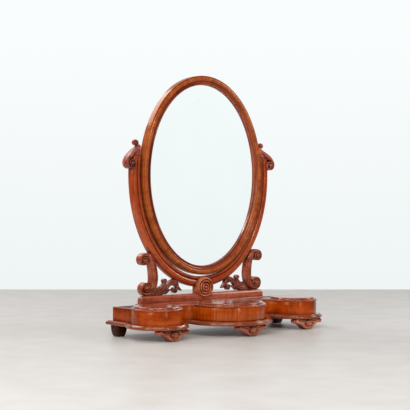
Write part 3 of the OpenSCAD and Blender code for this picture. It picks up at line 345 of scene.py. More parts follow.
# %% The wood of each piece
polish = {
    "frame": polished_wood("frame_veneer", (142, 62, 22), (164, 78, 32), (182, 96, 46), across=True,
                           stripes=24, flame=0.14, pores=0.15, dirt_and_shade=0.45, gloss=0.17, shine=0.5,
                           coat=0.0),
    # The slip is coloured darker than the frame: partly painted shade for its hollow.
    "sight": polished_wood("sight_moulding_with_painted_shade", (114, 46, 30), (150, 68, 46), (174, 88, 62),
                           dirt_and_shade=0.45, pores=0.2, gloss=0.17, coat=0.0),
    "arm": polished_wood("arm_mahogany", (128, 46, 20), (168, 68, 32), (190, 90, 50), flame=0.3,
                         gloss=0.15),
    "carved": polished_wood("carved_mahogany", (112, 46, 30), (152, 70, 48), (182, 98, 72),
                            by_shape=False, dirt_and_shade=0.92, wear_and_highlight=0.9, gloss=0.24),
    "carved_dark": polished_wood("carved_dark_mahogany", (84, 34, 28), (122, 54, 44), (154, 82, 70),
                                 by_shape=False, dirt_and_shade=0.92, wear_and_highlight=0.9, gloss=0.3),
    "finial": polished_wood("finial_mahogany", (104, 42, 34), (146, 68, 56), (182, 102, 88),
                            by_shape=False, dirt_and_shade=0.95, wear_and_highlight=0.9, gloss=0.3, shine=0.5, coat=0.0),
    # The front feet are coloured lighter than the other carving: painted light, against the plinth's shadow
    # over them.
    "foot": polished_wood("carved_foot_with_painted_light", (122, 58, 42), (164, 90, 68), (198, 126, 100),
                          by_shape=False, dirt_and_shade=0.85, wear_and_highlight=0.95, gloss=0.24),
    "front": polished_wood("centre_front_veneer", (150, 54, 4), (170, 66, 6), (188, 84, 12),
                           across=True, stripes=70, pores=0.3),
    "bow": polished_wood("side_bow_veneer", (130, 44, 3), (164, 60, 5), (188, 84, 12), stripes=12,
                         flame=0.6, pores=0.3, shine=0.45, coat=0.03),
    "end": polished_wood("end_panel_veneer", (112, 38, 3), (142, 50, 6), (164, 68, 14), stripes=18,
                         flame=0.5, shine=0.25, coat=0.0),
    "top": polished_wood("top_mahogany", (118, 46, 26), (154, 70, 44), (178, 92, 64),
                         by_shape=False, stripes=22, gloss=0.15, coat=0.35, grainy=0.01),
    "rail": polished_wood("rail_mahogany", (130, 56, 36), (168, 82, 58), (190, 104, 78),
                          by_shape=False, gloss=0.18, coat=0.25),
    "button": polished_wood("button_mahogany", (146, 70, 42), (190, 100, 66), (212, 126, 90),
                            by_shape=False, dirt_and_shade=0.85, wear_and_highlight=0.9),
    "edge": polished_wood("plinth_mahogany", (98, 36, 16), (138, 58, 30), (166, 84, 50),
                          wear_and_highlight=0.6, gloss=0.12, shine=1.0, coat=0.4, grainy=0.02),
    "rim": polished_wood("rim_mahogany", (118, 46, 26), (154, 70, 44), (178, 92, 64),
                         by_shape=False, stripes=22, gloss=0.24, coat=0.1, grainy=0.01),
    "shelf": polished_wood("dull_top_mahogany", (64, 26, 16), (92, 40, 24), (116, 56, 36),
                           by_shape=False, gloss=0.5, shine=0.15, coat=0.0),
    # The rear feet are coloured near black: partly dark wood, partly painted shade under the base.
    "dark": polished_wood("near_black_wood_with_painted_shade", (32, 11, 8), (56, 19, 13), (76, 30, 21),
                          by_shape=False, gloss=0.45, shine=0.3, coat=0.0),
    "back": polished_wood("dark_back_wood", (40, 20, 13), (66, 36, 22), (88, 50, 32),
                          by_shape=False, gloss=0.5, coat=0.05),
}

# %% [markdown]
# ## Bare pine
# Where no one looks, such a mirror is plain softwood: the drawer's sides, the partitions
# and the backboard. It is pale, with darker year lines and some grey from age, and has
# no polish at all. Turning the map lays the grain along each board.


# %% Bare pine
def bare_pine(name, along=(0, 0, 0), shade=1.0):
    """Unpolished softwood, whose map is turned to lay the grain along the board."""
    mat, tree, maps = new_material(name)
    laid = add(tree, "ShaderNodeMapping", Vector=maps["Object"], Rotation=along).outputs[0]
    year = noise(tree, stretched(tree, laid, 3.0, 60.0), 1.6, 3.0)
    woods = ((0.32, (200, 146, 94)), (0.52, (212, 162, 108)), (0.74, (222, 176, 124)))
    wood = ramp(tree, year, *[(place, srgb(*[c * shade for c in colour])) for place, colour in woods])
    age = noise(tree, maps["Object"], 8.0, 5.0)
    dusty = ramp(tree, age, (0.35, (0.84, 0.75, 0.66, 1)), (0.65, CLEAR))
    surface(mat, Base_Color=multiplied(tree, 0.6, wood, dusty),
            Roughness=ramp(tree, year, (0.3, grey(0.55)), (0.7, grey(0.75))),
            Normal=relief(tree, year, 0.3, 0.0005))
    return mat


pine = bare_pine("drawer_pine")
pine_deep = bare_pine("drawer_side_pine", along=(0, 0, math.pi / 2))
pine_back = bare_pine("backboard_pine", along=(0, math.pi / 2, 0), shade=0.86)

# %% [markdown]
# ## Brass and silvered glass
# The hinges, pins and screws are brass that was never polished again, so one noise gives
# it its colour, its dullness and its pits. The plate is almost a perfect mirror, and any
# bump would spoil it: faint clouds and a few specks in the silver are all that age it.


# %% Brass and silvered glass
def worn_brass():
    """Old brass: brown and dull in spots, and bright where it is rubbed."""
    mat, tree, maps = new_material("worn_brass")
    spots = noise(tree, maps["Object"], 130.0, 6.0)
    metal = ramp(tree, spots, (0.36, srgb(112, 82, 40)), (0.5, srgb(182, 144, 74)),
                 (0.7, srgb(212, 178, 108)))
    surface(mat, Base_Color=metal, Metallic=1.0,
            Roughness=ramp(tree, spots, (0.36, grey(0.55)), (0.6, grey(0.26))),
            Normal=relief(tree, spots, 0.15, 0.0003))
    return mat


def silvered_glass():
    """Old mirror plate: almost clean, with faint clouds and a few tarnished specks."""
    mat, tree, maps = new_material("silvered_glass")
    clouds = noise(tree, maps["Object"], 7.0, 5.0)
    silver = ramp(tree, clouds, (0.3, srgb(249, 254, 253)), (0.7, srgb(252, 255, 255)))
    specks = noise(tree, maps["Object"], 90.0, 3.0)
    tarnish = ramp(tree, specks, (0.2, (0.45, 0.44, 0.4, 1)), (0.27, CLEAR))
    surface(mat, Base_Color=multiplied(tree, 0.5, silver, tarnish), Metallic=1.0, Roughness=0.0)
    return mat


brass = worn_brass()
glass = silvered_glass()

# %% [markdown]
# ## Cloth
# The wells are lined with thin dark red velvet. Real pile could be grown as hair, but so
# little of it shows that sheen, and a fine relief, do the same.


# %% Cloth
def red_cloth():
    """Thin velvet, its pile lying in slightly different directions."""
    mat, tree, maps = new_material("well_velvet")
    pile = noise(tree, maps["Object"], 900.0, 2.0)
    lay = noise(tree, maps["Object"], 40.0, 4.0)
    surface(mat, Base_Color=ramp(tree, lay, (0.35, srgb(72, 14, 26)), (0.65, srgb(112, 26, 42))),
            Roughness=0.9, Normal=relief(tree, pile, 0.5, 0.0006), Sheen_Weight=0.6,
            Sheen_Roughness=0.35)
    return mat


cloth = red_cloth()

# %% [markdown]
# ## Finishes for the CAD's own pieces
# Screws, pins, hinges, blocks and the drawer's boards are right as the CAD has them. They
# could be built again here, but a good finish is all they lack. Each gets the finish of its
# kind of material, and a few get one of their own, so that their grain runs their way.

# %% Finishes for the CAD's own pieces
slot_finish = {"mahogany": polish["top"], "veneer": polish["end"], "carved_mahogany": polish["carved"],
               "dark_wood": polish["back"], "pine": pine, "lining": cloth, "brass": brass,
               "mirror": glass}
own_finish = {"drawer_left_side": pine_deep, "drawer_right_side": pine_deep, "backboard": pine_back,
              "left_partition": pine_deep, "right_partition": pine_deep, "centre_block": polish["arm"],
              "left_top_board": polish["shelf"], "right_top_board": polish["shelf"]}
for part in frame["record"]["subparts"]:
    node = frame["nodes"][part["node"]]
    node.data.materials.clear()
    node.data.materials.append(own_finish.get(part["node"], slot_finish[part["material_slot"]]))

# %% [markdown]
# ## How every piece is made
# A joiner makes almost all of this in three ways, and so does this lesson. A moulding is a
# profile run along a line, as `run_round_oval` does. A turned part is a profile spun on a
# lathe: `turned`. A board sawn to an outline has its edge worked to a profile: `levels`.
# Each gives rows of points, and `skin` lays faces over them. Blender's own tools could
# bevel and lathe as well, but rows keep every profile as crisp as it is written here, and
# they know which way the grain runs.


# %% A skin over rows of points
MM = 0.001
YOKE_FRONT = 112.0


def flipped(faces, spots):
    """The same faces seen from their other side, with their map."""
    starts = np.append(0, np.cumsum([len(f) for f in faces]))
    return ([f[::-1] for f in faces],
            np.concatenate([spots[a:b][::-1] for a, b in zip(starts[:-1], starts[1:])]))


def lengths(rows, axis):
    """How far along the surface each row or column lies from the first."""
    return np.append(0, np.cumsum(np.linalg.norm(np.roll(rows, -1, axis) - rows, axis=2).mean(1 - axis)))


def end_map(flat, grain):
    """The map of a flat end: its points without the axis in which it is thinnest."""
    thin = int(np.argmin(np.ptp(flat, axis=0)))
    kept = [axis for axis in (0, 1, 2) if axis != thin]
    return flat[:, kept if grain == "rows" else kept[::-1]]


def skin(rows, around=False, grain="rows"):
    """Faces over rows of points, with a map in metres whose first axis follows the grain."""
    rows = np.asarray(rows, float)
    count, width = rows.shape[:2]
    down, over = lengths(rows, 0), lengths(rows, 1)
    faces, spots = [], []
    for i in range(count if around else count - 1):
        k = (i + 1) % count
        for j in range(width):
            m = (j + 1) % width
            faces.append((i * width + j, i * width + m, k * width + m, k * width + j))
            spots += [(down[i], over[j]), (down[i], over[j + 1]), (down[i + 1], over[j + 1]),
                      (down[i + 1], over[j])]
    if not around:
        for row, order in ((0, range(width - 1, -1, -1)), (count - 1, range(width))):
            faces.append(tuple(row * width + j for j in order))
            spots += end_map(rows[row][list(order)], grain).tolist()
    spots = np.array(spots) * MM
    if grain != "rows":
        spots = spots[:, ::-1]
    points = rows.reshape(-1, 3)
    volume = sum(np.dot(points[f[0]], np.cross(points[f[i]], points[f[i + 1]]))
                 for f in faces for i in range(1, len(f) - 1))
    if volume < 0:
        faces, spots = flipped(faces, spots)
    return points, faces, spots


cube = skin([[(x, y, z) for x, y in ((0, 0), (1, 0), (1, 1), (0, 1))] for z in (0, 1)])
print("the skin of a cube has", len(cube[1]), "faces")

# %% [markdown]
# ## From skins to a piece
# A carved piece is several skins that sink a little into each other, as cuts in one block
# of wood do. They could be fused with a boolean, but that is slow and spoils the rows, and
# nobody sees the difference. What is on the right is on the left too, so it is made once
# and mirrored.


# %% Pieces
# Edges sharper than this, in degrees, stay crisp.
CREASE = 34.0


def joined(skins):
    """Several skins as one: points in metres in the frame's own place, faces, and their map."""
    faces, total = [], 0
    for points, part_faces, _ in skins:
        faces += [tuple(i + total for i in f) for f in part_faces]
        total += len(points)
    points = (np.concatenate([part[0] for part in skins]) + [0, YOKE_FRONT, 0]) * MM
    return points.tolist(), faces, np.concatenate([part[2] for part in skins])


def piece(name, skins, finish, body, slot, *nodes, crease=CREASE):
    """One named piece from its skins, riding on its body and standing for its CAD nodes."""
    points, faces, spots = joined(skins)
    mesh = bpy.data.meshes.new(name)
    mesh.from_pydata(points, [], faces)
    layer = mesh.uv_layers.new(name="grain")
    layer.data.foreach_set("uv", spots.astype(np.float32).ravel())
    mesh.shade_smooth()
    mesh.set_sharp_from_angle(angle=math.radians(crease))
    obj = bpy.data.objects.new(name, mesh)
    bpy.context.scene.collection.objects.link(obj)
    mesh.materials.append(finish)
    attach(obj, body)
    if nodes:
        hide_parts(*nodes)
    print(f"{name}: {len(faces)} faces")
    return obj


def other_side(skins):
    """The same skins on the left, as seen from the front."""
    return [(points * [-1, 1, 1], *flipped(faces, spots)) for points, faces, spots in skins]


def pair(name, skins, finish, body, slot, node, **options):
    """A right-hand piece and its mirror image."""
    piece("right_" + name, skins, finish, body, slot, "right_" + node, **options)
    piece("left_" + name, other_side(skins), finish, body, slot, "left_" + node, **options)


# %% [markdown]
# ## Lines and arcs
# A maker draws with compasses and with a springy batten that bends through nails. `arc`
# is the one and `through` the other. Blender's curve objects could do both, but short
# functions give the points themselves, for any number of values at a time.


# %% Lines and arcs
def through(points, steps):
    """A smooth line through chosen points of any number of values."""
    p = np.asarray(points, float)
    line = []
    for i in range(len(p) - 1):
        a, b, c, d = p[max(i - 1, 0)], p[i], p[i + 1], p[min(i + 2, len(p) - 1)]
        for t in np.arange(steps) / steps:
            line.append(0.5 * (2 * b + (c - a) * t + (2 * a - 5 * b + 4 * c - d) * t ** 2
                               + (3 * b - a - 3 * c + d) * t ** 3))
    return np.array(line + [p[-1]])


def arc(centre, rx, rz, start, stop, steps):
    """Points on part of an ellipse, from one angle to another."""
    a = np.radians(np.linspace(start, stop, steps + 1))
    return np.stack([centre[0] + rx * np.cos(a), centre[1] + rz * np.sin(a)], 1)


print("a quarter of a 10 mm circle ends at", arc((0, 0), 10, 10, 0, 90, 8)[-1].round(3))

# %% [markdown]
# ## The oval
# The frame and the yoke are drawn from one oval, the edge of the glass that shows. A
# plain scaling would squeeze a moulding at the top and bottom, so the oval's own normals
# carry each profile that runs round it.

# %% The oval
GLASS_W, GLASS_H, GLASS_Z = 435.0, 600.0, 513.5


def oval(degrees, out):
    """Points out from the glass's sight edge, square to it: [X, Z]."""
    a = np.radians(degrees)
    n = np.stack([np.cos(a) / GLASS_W, np.sin(a) / GLASS_H], -1)
    n /= np.linalg.norm(n, axis=-1, keepdims=True)
    edge = np.stack([GLASS_W / 2 * np.cos(a), GLASS_Z + GLASS_H / 2 * np.sin(a)], -1)
    return edge + np.asarray(out, float)[..., None] * n


def run_round_oval(degrees, profile):
    """A profile of [out from the glass, Y] run round the oval. It can be one or one per row."""
    profile = np.asarray(profile, float)
    if profile.ndim == 2:
        profile = np.repeat(profile[None], len(degrees), 0)
    xz = oval(np.asarray(degrees)[:, None], profile[:, :, 0])
    return np.stack([xz[..., 0], profile[:, :, 1], xz[..., 1]], -1)


print("the glass's top is at Z", oval(90.0, 0.0)[1])

# %% [markdown]
# ## The mirror's frame
# The moulded frame would be glued up from four or more sawn curves, faced with veneer whose grain runs
# across it, and scraped to shape as a big outer roll that falls away to the back. Inside it sits a darker
# slip with a hollow and a bead, next to the glass, so it is a piece of its own here. Its darker colour is
# partly painted shade, for the shadow in its hollow. One profile could hold both, but then they'd share a
# grain.

# %% The frame's mouldings
FRAME_FRONT = -10.0
ROW_DEGREES = 1.5
outer_profile = np.concatenate([
    [[6.1, 12.1], [13.3, 12.1], [13.3, 3.4], [13.6, 3.0], [14.1, 3.9]],
    arc((20.9, 4.0), 6.6, 3.95, 180, 350, 20),
    [[27.7, 4.9], [28.2, 5.0]],
    arc((29.6, 5.6), 1.35, 1.5, 200, 360, 8),
    [[30.95, 20.0], [30.95, 29.2], [30.3, 29.95], [18.0, 29.95], [6.1, 29.95]]])
sight_profile = np.concatenate([
    [[0.05, 12.0], [0.05, 8.8]],
    arc((2.6, 8.2), 2.5, 2.6, 180, 350, 12),
    [[5.2, 9.2], [5.9, 9.3]],
    through([[6.1, 8.9], [8.0, 8.7], [10.4, 7.6], [12.2, 5.6], [13.2, 3.4]], 4),
    [[13.25, 12.0]]])
for name, profile, finish, *node in (("oval_frame", outer_profile, "frame", "mirror_frame"),
                                     ("sight_moulding", sight_profile, "sight")):
    rows = run_round_oval(np.arange(0, 360, ROW_DEGREES), profile + [0, FRAME_FRONT])
    piece(name, [skin(rows, around=True)], polish[finish], "mirror", "mahogany", *node)

# %% [markdown]
# ## The yoke's arms
# Two arms hold the mirror, sawn from thick mahogany and joined under it. Their inner edge
# has a bead, and the rest is one broad roll. They grow a little towards the joint, where
# they carry the most. A straight scaling would widen the bead as well, so the profile is
# drawn anew for each width of the arm.


# %% Arms
ARM_IN, ARM_FACE, ARM_GROWS, GROWN_AT = 36.0, 34.0, 2.0, 50.0


def arm_profile(face):
    """Out from the arm's inner edge, and depth: a bead 12 wide, a quirk, then the broad roll."""
    roll = face - 13.4
    return np.concatenate([
        [[0.0, 24.0], [0.0, 14.0], [0.0, 6.2]],
        arc((6.0, 6.0), 5.95, 5.0, 180, 352, 14)[1:],
        [[12.3, 6.9], [13.2, 6.9]],
        arc((13.4 + roll / 2, 5.1), roll / 2, 5.0, 190, 270, 10),
        arc((13.4 + roll / 2, 10.0), roll / 2 - 0.05, 9.9, 270, 360, 10)[1:],
        [[face - 0.05, 17.0], [face - 0.05, 23.4], [face - 0.6, 24.0]]])


def arm_growth(degrees):
    """How much wider the arm is than at its head: it grows smoothly on its way down."""
    part = np.clip(-degrees / GROWN_AT, 0, 1)
    return ARM_GROWS * part ** 2 * (3 - 2 * part)


arm_angles = np.linspace(-90, 10, 141)
arm_rows = run_round_oval(arm_angles, [arm_profile(face) + [ARM_IN, 0]
                                       for face in ARM_FACE + arm_growth(arm_angles)])
arm_rows[..., 0] = np.maximum(arm_rows[..., 0], 0)
pair("yoke_arm", [skin(arm_rows)], polish["arm"], "base", "mahogany", "arm")

# %% [markdown]
# ## The plan of the base
# Three bows with a hollow between them make the base's outline: a round one in front of
# the drawer and an oval one at each side. The hollow's radius isn't chosen. It is the one
# round that flows out of the oval and ends at the corner of the middle bow.


# %% The serpentine plan
BOW_R, BOW_Y, BOW_WRAP = 124.0, -130.0, 14.0
SIDE_X, SIDE_Y, SIDE_RX, SIDE_RY = 283.0, -127.0, 77.0, 85.5
END_X, BASE_BACK = 337.0, 38.0
COVE_FROM_SIDE = -172.0


def side_bow(degrees, out):
    a = np.radians(degrees)
    n = np.stack([np.cos(a) / SIDE_RX, np.sin(a) / SIDE_RY], -1)
    n /= np.linalg.norm(n, axis=-1, keepdims=True)
    return np.stack([SIDE_X + SIDE_RX * np.cos(a), SIDE_Y + SIDE_RY * np.sin(a)], -1) + out * n


bow_end = np.array([BOW_R * math.cos(math.radians(BOW_WRAP)),
                    BOW_Y + BOW_R * math.sin(math.radians(BOW_WRAP))])
cove_end = side_bow(COVE_FROM_SIDE, 0.0)
cove_normal = side_bow(COVE_FROM_SIDE, 1.0) - cove_end
span = cove_end - bow_end
COVE_R = -(span @ span) / (2 * (cove_normal @ span))
COVE_AT = cove_end + COVE_R * cove_normal
COVE_TO = math.degrees(math.atan2(cove_end[1] - COVE_AT[1], cove_end[0] - COVE_AT[0]))
print("the hollow's radius is", round(float(COVE_R), 1), "mm; corner at", bow_end.round(1))

# %% [markdown]
# ## Lines gauged from the plan
# A joiner would draw the plan once on a board and gauge every other line from it, so
# `half_plan` gives the line at any distance outside or inside of the fronts. Scaling the
# outline would be quicker, but a bow has to grow where a hollow shrinks.


# %% Lines gauged from the plan
def corner_at(out):
    """Where the bow and the hollow meet, out from the fronts."""
    r1, r2 = BOW_R + out, COVE_R - out
    gap = COVE_AT - [0, BOW_Y]
    apart = np.linalg.norm(gap)
    along = (r1 ** 2 - r2 ** 2 + apart ** 2) / (2 * apart)
    aside = math.sqrt(r1 ** 2 - along ** 2)
    return np.array([0, BOW_Y]) + (along * gap + aside * np.array([-gap[1], gap[0]])) / apart


def arris_angle(out):
    """Where the side bow meets the flat end."""
    low, high = 0.0, 90.0
    for _ in range(40):
        mid = (low + high) / 2
        low, high = (mid, high) if side_bow(mid, out)[0] > END_X + out else (low, mid)
    return low


def bow_line(out, steps):
    corner = corner_at(out)
    to = math.degrees(math.atan2(corner[1] - BOW_Y, corner[0]))
    return arc((0, BOW_Y), BOW_R + out, BOW_R + out, -90, to, steps)


def cove_line(out, steps):
    corner = corner_at(out) - COVE_AT
    start = math.degrees(math.atan2(corner[1], corner[0]))
    return arc(COVE_AT, COVE_R - out, COVE_R - out, start, COVE_TO, steps)


def side_line(out, steps):
    return side_bow(np.linspace(COVE_FROM_SIDE, arris_angle(out), steps + 1), out)


def end_line(out, back, steps):
    top = side_line(out, 1)[-1]
    return np.linspace(top, [END_X + out, back], steps + 1)


def half_plan(out, back):
    return np.concatenate([bow_line(out, 80), cove_line(out, 28)[1:], side_line(out, 110)[1:],
                           end_line(out, back, 10)[1:]])


def whole_plan(out, back):
    half = half_plan(out, back)
    rear = np.linspace(half[-1], half[-1] * [-1, 1], 31)[1:-1]
    return np.concatenate([half, rear, half[:0:-1] * [-1, 1]])


print("the fronts' plan has", len(whole_plan(0.0, BASE_BACK)), "points")

# %% [markdown]
# ## The plinth
# The board under everything stands out 20 mm all round the front. Its edge is a plump
# half round with a small step and a hollow above, which catches a long line of light. A
# bevel would only round it, so the edge is drawn as a profile of (inset, height).

# %% Plinth
PLINTH_OUT, PLINTH_BEHIND = 20.0, 12.0


def levels(outlines_and_heights):
    """Rows for a board whose outline changes with height: [(outline, z), ...]."""
    return np.array([[(x, y, z) for x, y in outline] for outline, z in outlines_and_heights])


plinth_edge = np.concatenate([
    [[6.0, 36.0], [4.2, 36.05]],
    through([[3.0, 36.3], [1.2, 37.4], [0.3, 39.2], [0.06, 41.2], [0.35, 43.2], [1.2, 45.0],
             [2.4, 46.2]], 4),
    [[3.1, 46.6], [3.2, 47.2], [3.4, 47.5]],
    through([[3.9, 47.7], [5.0, 48.3], [5.9, 49.1], [6.5, 49.95]], 3),
    [[7.0, 50.0]]])
plinth_rows = levels([(whole_plan(PLINTH_OUT - inset, BASE_BACK + PLINTH_BEHIND - inset), z)
                      for inset, z in plinth_edge])
piece("plinth_board", [skin(plinth_rows, grain="columns")], polish["edge"], "base", "mahogany",
      "plinth")

# %% [markdown]
# ## The fronts and ends of the carcase
# The bowed fronts are thick wood, sawn and faced with veneer. The side fronts run in one
# piece from the flat ends round the bow and into the hollow. Their top arris is rubbed
# round, so it shows as a thin pale line under the lids.

# %% Side fronts and end panels
wall_profile = [(0.0, 50.0), (0.0, 70.0), (0.0, 91.2), (-0.25, 91.75), (-0.8, 92.0), (-11.9, 92.0),
                (-11.9, 50.0)]


def wall_rows(line):
    """A wall's profile of (out, z) along a stretch of the plan."""
    columns = [line(out) for out, z in wall_profile]
    return np.stack([np.column_stack([column, np.full(len(column), z)])
                     for column, (out, z) in zip(columns, wall_profile)], 1)


side_rows = wall_rows(lambda out: np.concatenate([cove_line(out, 28), side_line(out, 110)[1:]]))
pair("bowed_front", [skin(side_rows)], polish["bow"], "base", "veneer", "front")
end_rows = wall_rows(lambda out: end_line(out, BASE_BACK + out, 14))
pair("end_panel", [skin(end_rows)], polish["end"], "base", "veneer", "end_panel")

# %% [markdown]
# ## The drawer's front
# It bows with the base and ends on a mitre at each corner, so that no joint shows from
# the front. There's no handle: it is drawn out with the fingers under its lower edge. Its
# outline is closed behind by a round with the same centre, so the wood is 11 mm thick.

# %% Drawer front
FRONT_HALF, FRONT_THICK, FRONT_PROUD = 104.0, 11.0, 0.6


def inset_line(outline, by):
    """A closed line moved in by a small amount, square to itself."""
    outline = np.asarray(outline, float)
    ahead, behind = np.roll(outline, -1, 0) - outline, outline - np.roll(outline, 1, 0)
    n1 = np.stack([ahead[:, 1], -ahead[:, 0]], 1) / np.linalg.norm(ahead, axis=1, keepdims=True)
    n2 = np.stack([behind[:, 1], -behind[:, 0]], 1) / np.linalg.norm(behind, axis=1, keepdims=True)
    n = n1 + n2
    n /= np.maximum((n * n).sum(1, keepdims=True) / 2, 0.35)
    return outline - by * n


inner_corner = corner_at(-12.0)
slope = (inner_corner[1] - bow_end[1]) / (inner_corner[0] - bow_end[0])
mitre_end = bow_end[1] + slope * (FRONT_HALF - bow_end[0])
inner_x = np.linspace(FRONT_HALF, -FRONT_HALF, 61)
inner_y = BOW_Y - np.sqrt((BOW_R - FRONT_THICK) ** 2 - inner_x ** 2)
half_out = bow_line(0.0, 70)
drawer_outline = np.concatenate([
    (half_out * [-1, 1])[:0:-1], half_out, [[FRONT_HALF, mitre_end]],
    np.stack([inner_x, inner_y], 1), [[-FRONT_HALF, mitre_end]]]) - [0, FRONT_PROUD]
drawer_rows = levels([(inset_line(drawer_outline, inset), z) for inset, z in
                      ((0.5, 50.6), (0.1, 51.1), (0.0, 70.0), (0.0, 90.6), (0.15, 91.1), (0.6, 91.4))])
piece("drawer_bow_front", [skin(drawer_rows, grain="columns")], polish["front"], "drawer", "veneer",
      "drawer_front")

# %% [markdown]
# ## The centre top
# Three raised panels top the base. The middle one is turned and fixed: a rim with a
# rounded edge, and on it a panel with a hollow round its foot. Their profiles are of
# (inset, height), so that the side lids can have the very same edges.

# %% Centre top
TOP_Z, TOP_OVER = 92.0, 2.0
CENTRE_TOP_R = 117.5
CENTRE_TOP_Y = CENTRE_TOP_R + BOW_Y - BOW_R - TOP_OVER
rim_edge = np.concatenate([
    [[3.0, 0.0], [1.4, 0.15]],
    through([[0.7, 0.7], [0.1, 2.0], [0.1, 3.4], [0.6, 4.7], [1.7, 5.7], [3.2, 6.2]], 4),
    [[5.0, 6.4], [7.0, 6.5]]])
panel_edge = np.concatenate([
    [[8.2, 6.0], [8.2, 6.7]],
    through([[8.5, 7.6], [9.0, 9.4], [10.0, 11.2], [11.6, 12.1], [13.6, 12.45]], 4),
    [[20.0, 12.5]]])


def turned(profile, steps, centre, axis="z"):
    """A profile of [radius, height] spun round the z or the y axis, moved to a centre."""
    a = np.linspace(0, 2 * math.pi, steps, endpoint=False)
    rows = []
    for radius, height in profile:
        x, y = radius * np.cos(a), radius * np.sin(a)
        h = np.full(steps, height)
        rows.append(np.stack({"z": [x, y, h], "y": [x, h, y]}[axis], 1) + centre)
    return np.array(rows)


centre_profile = [(CENTRE_TOP_R - inset, z) for inset, z in np.concatenate([rim_edge, panel_edge[1:]])]
centre_rows = turned(centre_profile, 180, (0, CENTRE_TOP_Y, TOP_Z))
piece("centre_panel", [skin(centre_rows, grain="columns")], polish["top"], "base", "mahogany",
      "centre_top")

# %% [markdown]
# ## The side lids
# Each side top is a lid on a brass hinge, over a lined well. Its rim follows the bow and
# the hollow right up to the middle top, as the line of light in the photograph does, and
# its panel is an oval with its back cut straight. Rim and panel are two pieces, because
# their outlines are not alike and one skin couldn't follow both.


# %% Outlines of the lids
LID_BACK, LID_INNER_X, SEAM_R = -51.5, 100.0, 118.5
seam_to = math.degrees(math.acos(LID_INNER_X / SEAM_R))
lid_to = math.degrees(math.asin((LID_BACK - SIDE_Y) / (SIDE_RY + TOP_OVER)))
tip = corner_at(TOP_OVER)


def lid_line(inset):
    """The rim's outline: the hollow, the bow, the straight back and the seam by the middle top."""
    out = TOP_OVER - inset
    cove_from = (math.degrees(math.atan2(tip[1] - COVE_AT[1], tip[0] - COVE_AT[0]))
                 - math.degrees(inset / COVE_R))
    seam_from = (math.degrees(math.atan2(tip[1] - CENTRE_TOP_Y, tip[0]))
                 + math.degrees(inset / SEAM_R))
    side = side_bow(np.linspace(COVE_FROM_SIDE, lid_to, 121), out)
    side[:, 1] = np.minimum(side[:, 1], LID_BACK - inset)
    back = np.linspace(side[-1], [LID_INNER_X, LID_BACK - inset], 24)[1:]
    cove = arc(COVE_AT, COVE_R - out, COVE_R - out, cove_from, COVE_TO, 28)
    seam = arc((0, CENTRE_TOP_Y), SEAM_R, SEAM_R, seam_to, seam_from, 14)
    return np.concatenate([cove[:-1], side, back, seam])


def panel_line(inset):
    """The panel's outline: the side bow's oval, cut straight at the back."""
    a = np.radians(np.linspace(0, 360, 180, endpoint=False))
    y = SIDE_Y + (SIDE_RY + TOP_OVER - inset) * np.sin(a)
    return np.stack([SIDE_X + (SIDE_RX + TOP_OVER - inset) * np.cos(a),
                     np.minimum(y, LID_BACK - inset)], 1)


print("a lid's rim ends at", tip.round(1), "beside the middle top")

# %% [markdown]
# ## Cutting in the hinges
# The hinge lies in a recess in the rim's back edge. The outline could be notched, but
# then every row would need the notch, so it is cut as a joiner would cut it: a block
# is taken away from the finished rim, with a boolean.


# %% Side lids
def cut(obj, tool_skins):
    """Takes away from a piece what the tool's skins hold."""
    points, faces, _ = joined(tool_skins)
    tool_mesh = bpy.data.meshes.new("tool")
    tool_mesh.from_pydata(points, [], faces)
    tool = bpy.data.objects.new("tool", tool_mesh)
    bpy.context.scene.collection.objects.link(tool)
    saw = obj.modifiers.new("cut", "BOOLEAN")
    saw.operation, saw.object, saw.solver = "DIFFERENCE", tool, "EXACT"
    bpy.context.view_layer.update()
    sawn = bpy.data.meshes.new_from_object(obj.evaluated_get(bpy.context.evaluated_depsgraph_get()))
    obj.modifiers.clear()
    old = obj.data
    sawn.name = old.name + "_sawn"
    obj.data = sawn
    bpy.data.meshes.remove(old)
    bpy.data.objects.remove(tool)
    bpy.data.meshes.remove(tool_mesh)
    sawn.set_sharp_from_angle(angle=math.radians(CREASE))
    print(f"{obj.name}: cut, now {len(sawn.polygons)} faces, Z "
          f"{min(v.co.z for v in sawn.vertices):.4f} to {max(v.co.z for v in sawn.vertices):.4f}")


def block(low, high):
    """A plain box, for cutting with."""
    (x0, y0, z0), (x1, y1, z1) = low, high
    return skin([[(x0, y0, z), (x1, y0, z), (x1, y1, z), (x0, y1, z)] for z in (z0, z1)])


HINGE_HALF, RECESS_FRONT, RECESS_BACK, RECESS_TOP = 21.3, -62.5, -42.2, 93.4
lid_rim = skin(levels([(lid_line(inset), TOP_Z + z) for inset, z in rim_edge]), grain="columns")
lid_panel = skin(levels([(panel_line(inset), TOP_Z + z) for inset, z in panel_edge]), grain="columns")
hinge_recess = block((SIDE_X - HINGE_HALF, RECESS_FRONT, TOP_Z - 1),
                     (SIDE_X + HINGE_HALF, RECESS_BACK, RECESS_TOP))
for side, turn_over in (("right", list), ("left", other_side)):
    rim = piece(side + "_lid_rim", turn_over([lid_rim]), polish["rim"], side + "_lid", "mahogany",
                side + "_lid")
    cut(rim, turn_over([hinge_recess]))
    piece(side + "_lid_panel", turn_over([lid_panel]), polish["top"], side + "_lid", "mahogany")

# %% [markdown]
# ## The wells
# Under each lid is a round well for pins and rings: a thin wall, glued up like a small
# drum and covered with cloth. It is turned here as one hollow ring, rounded at its lip.

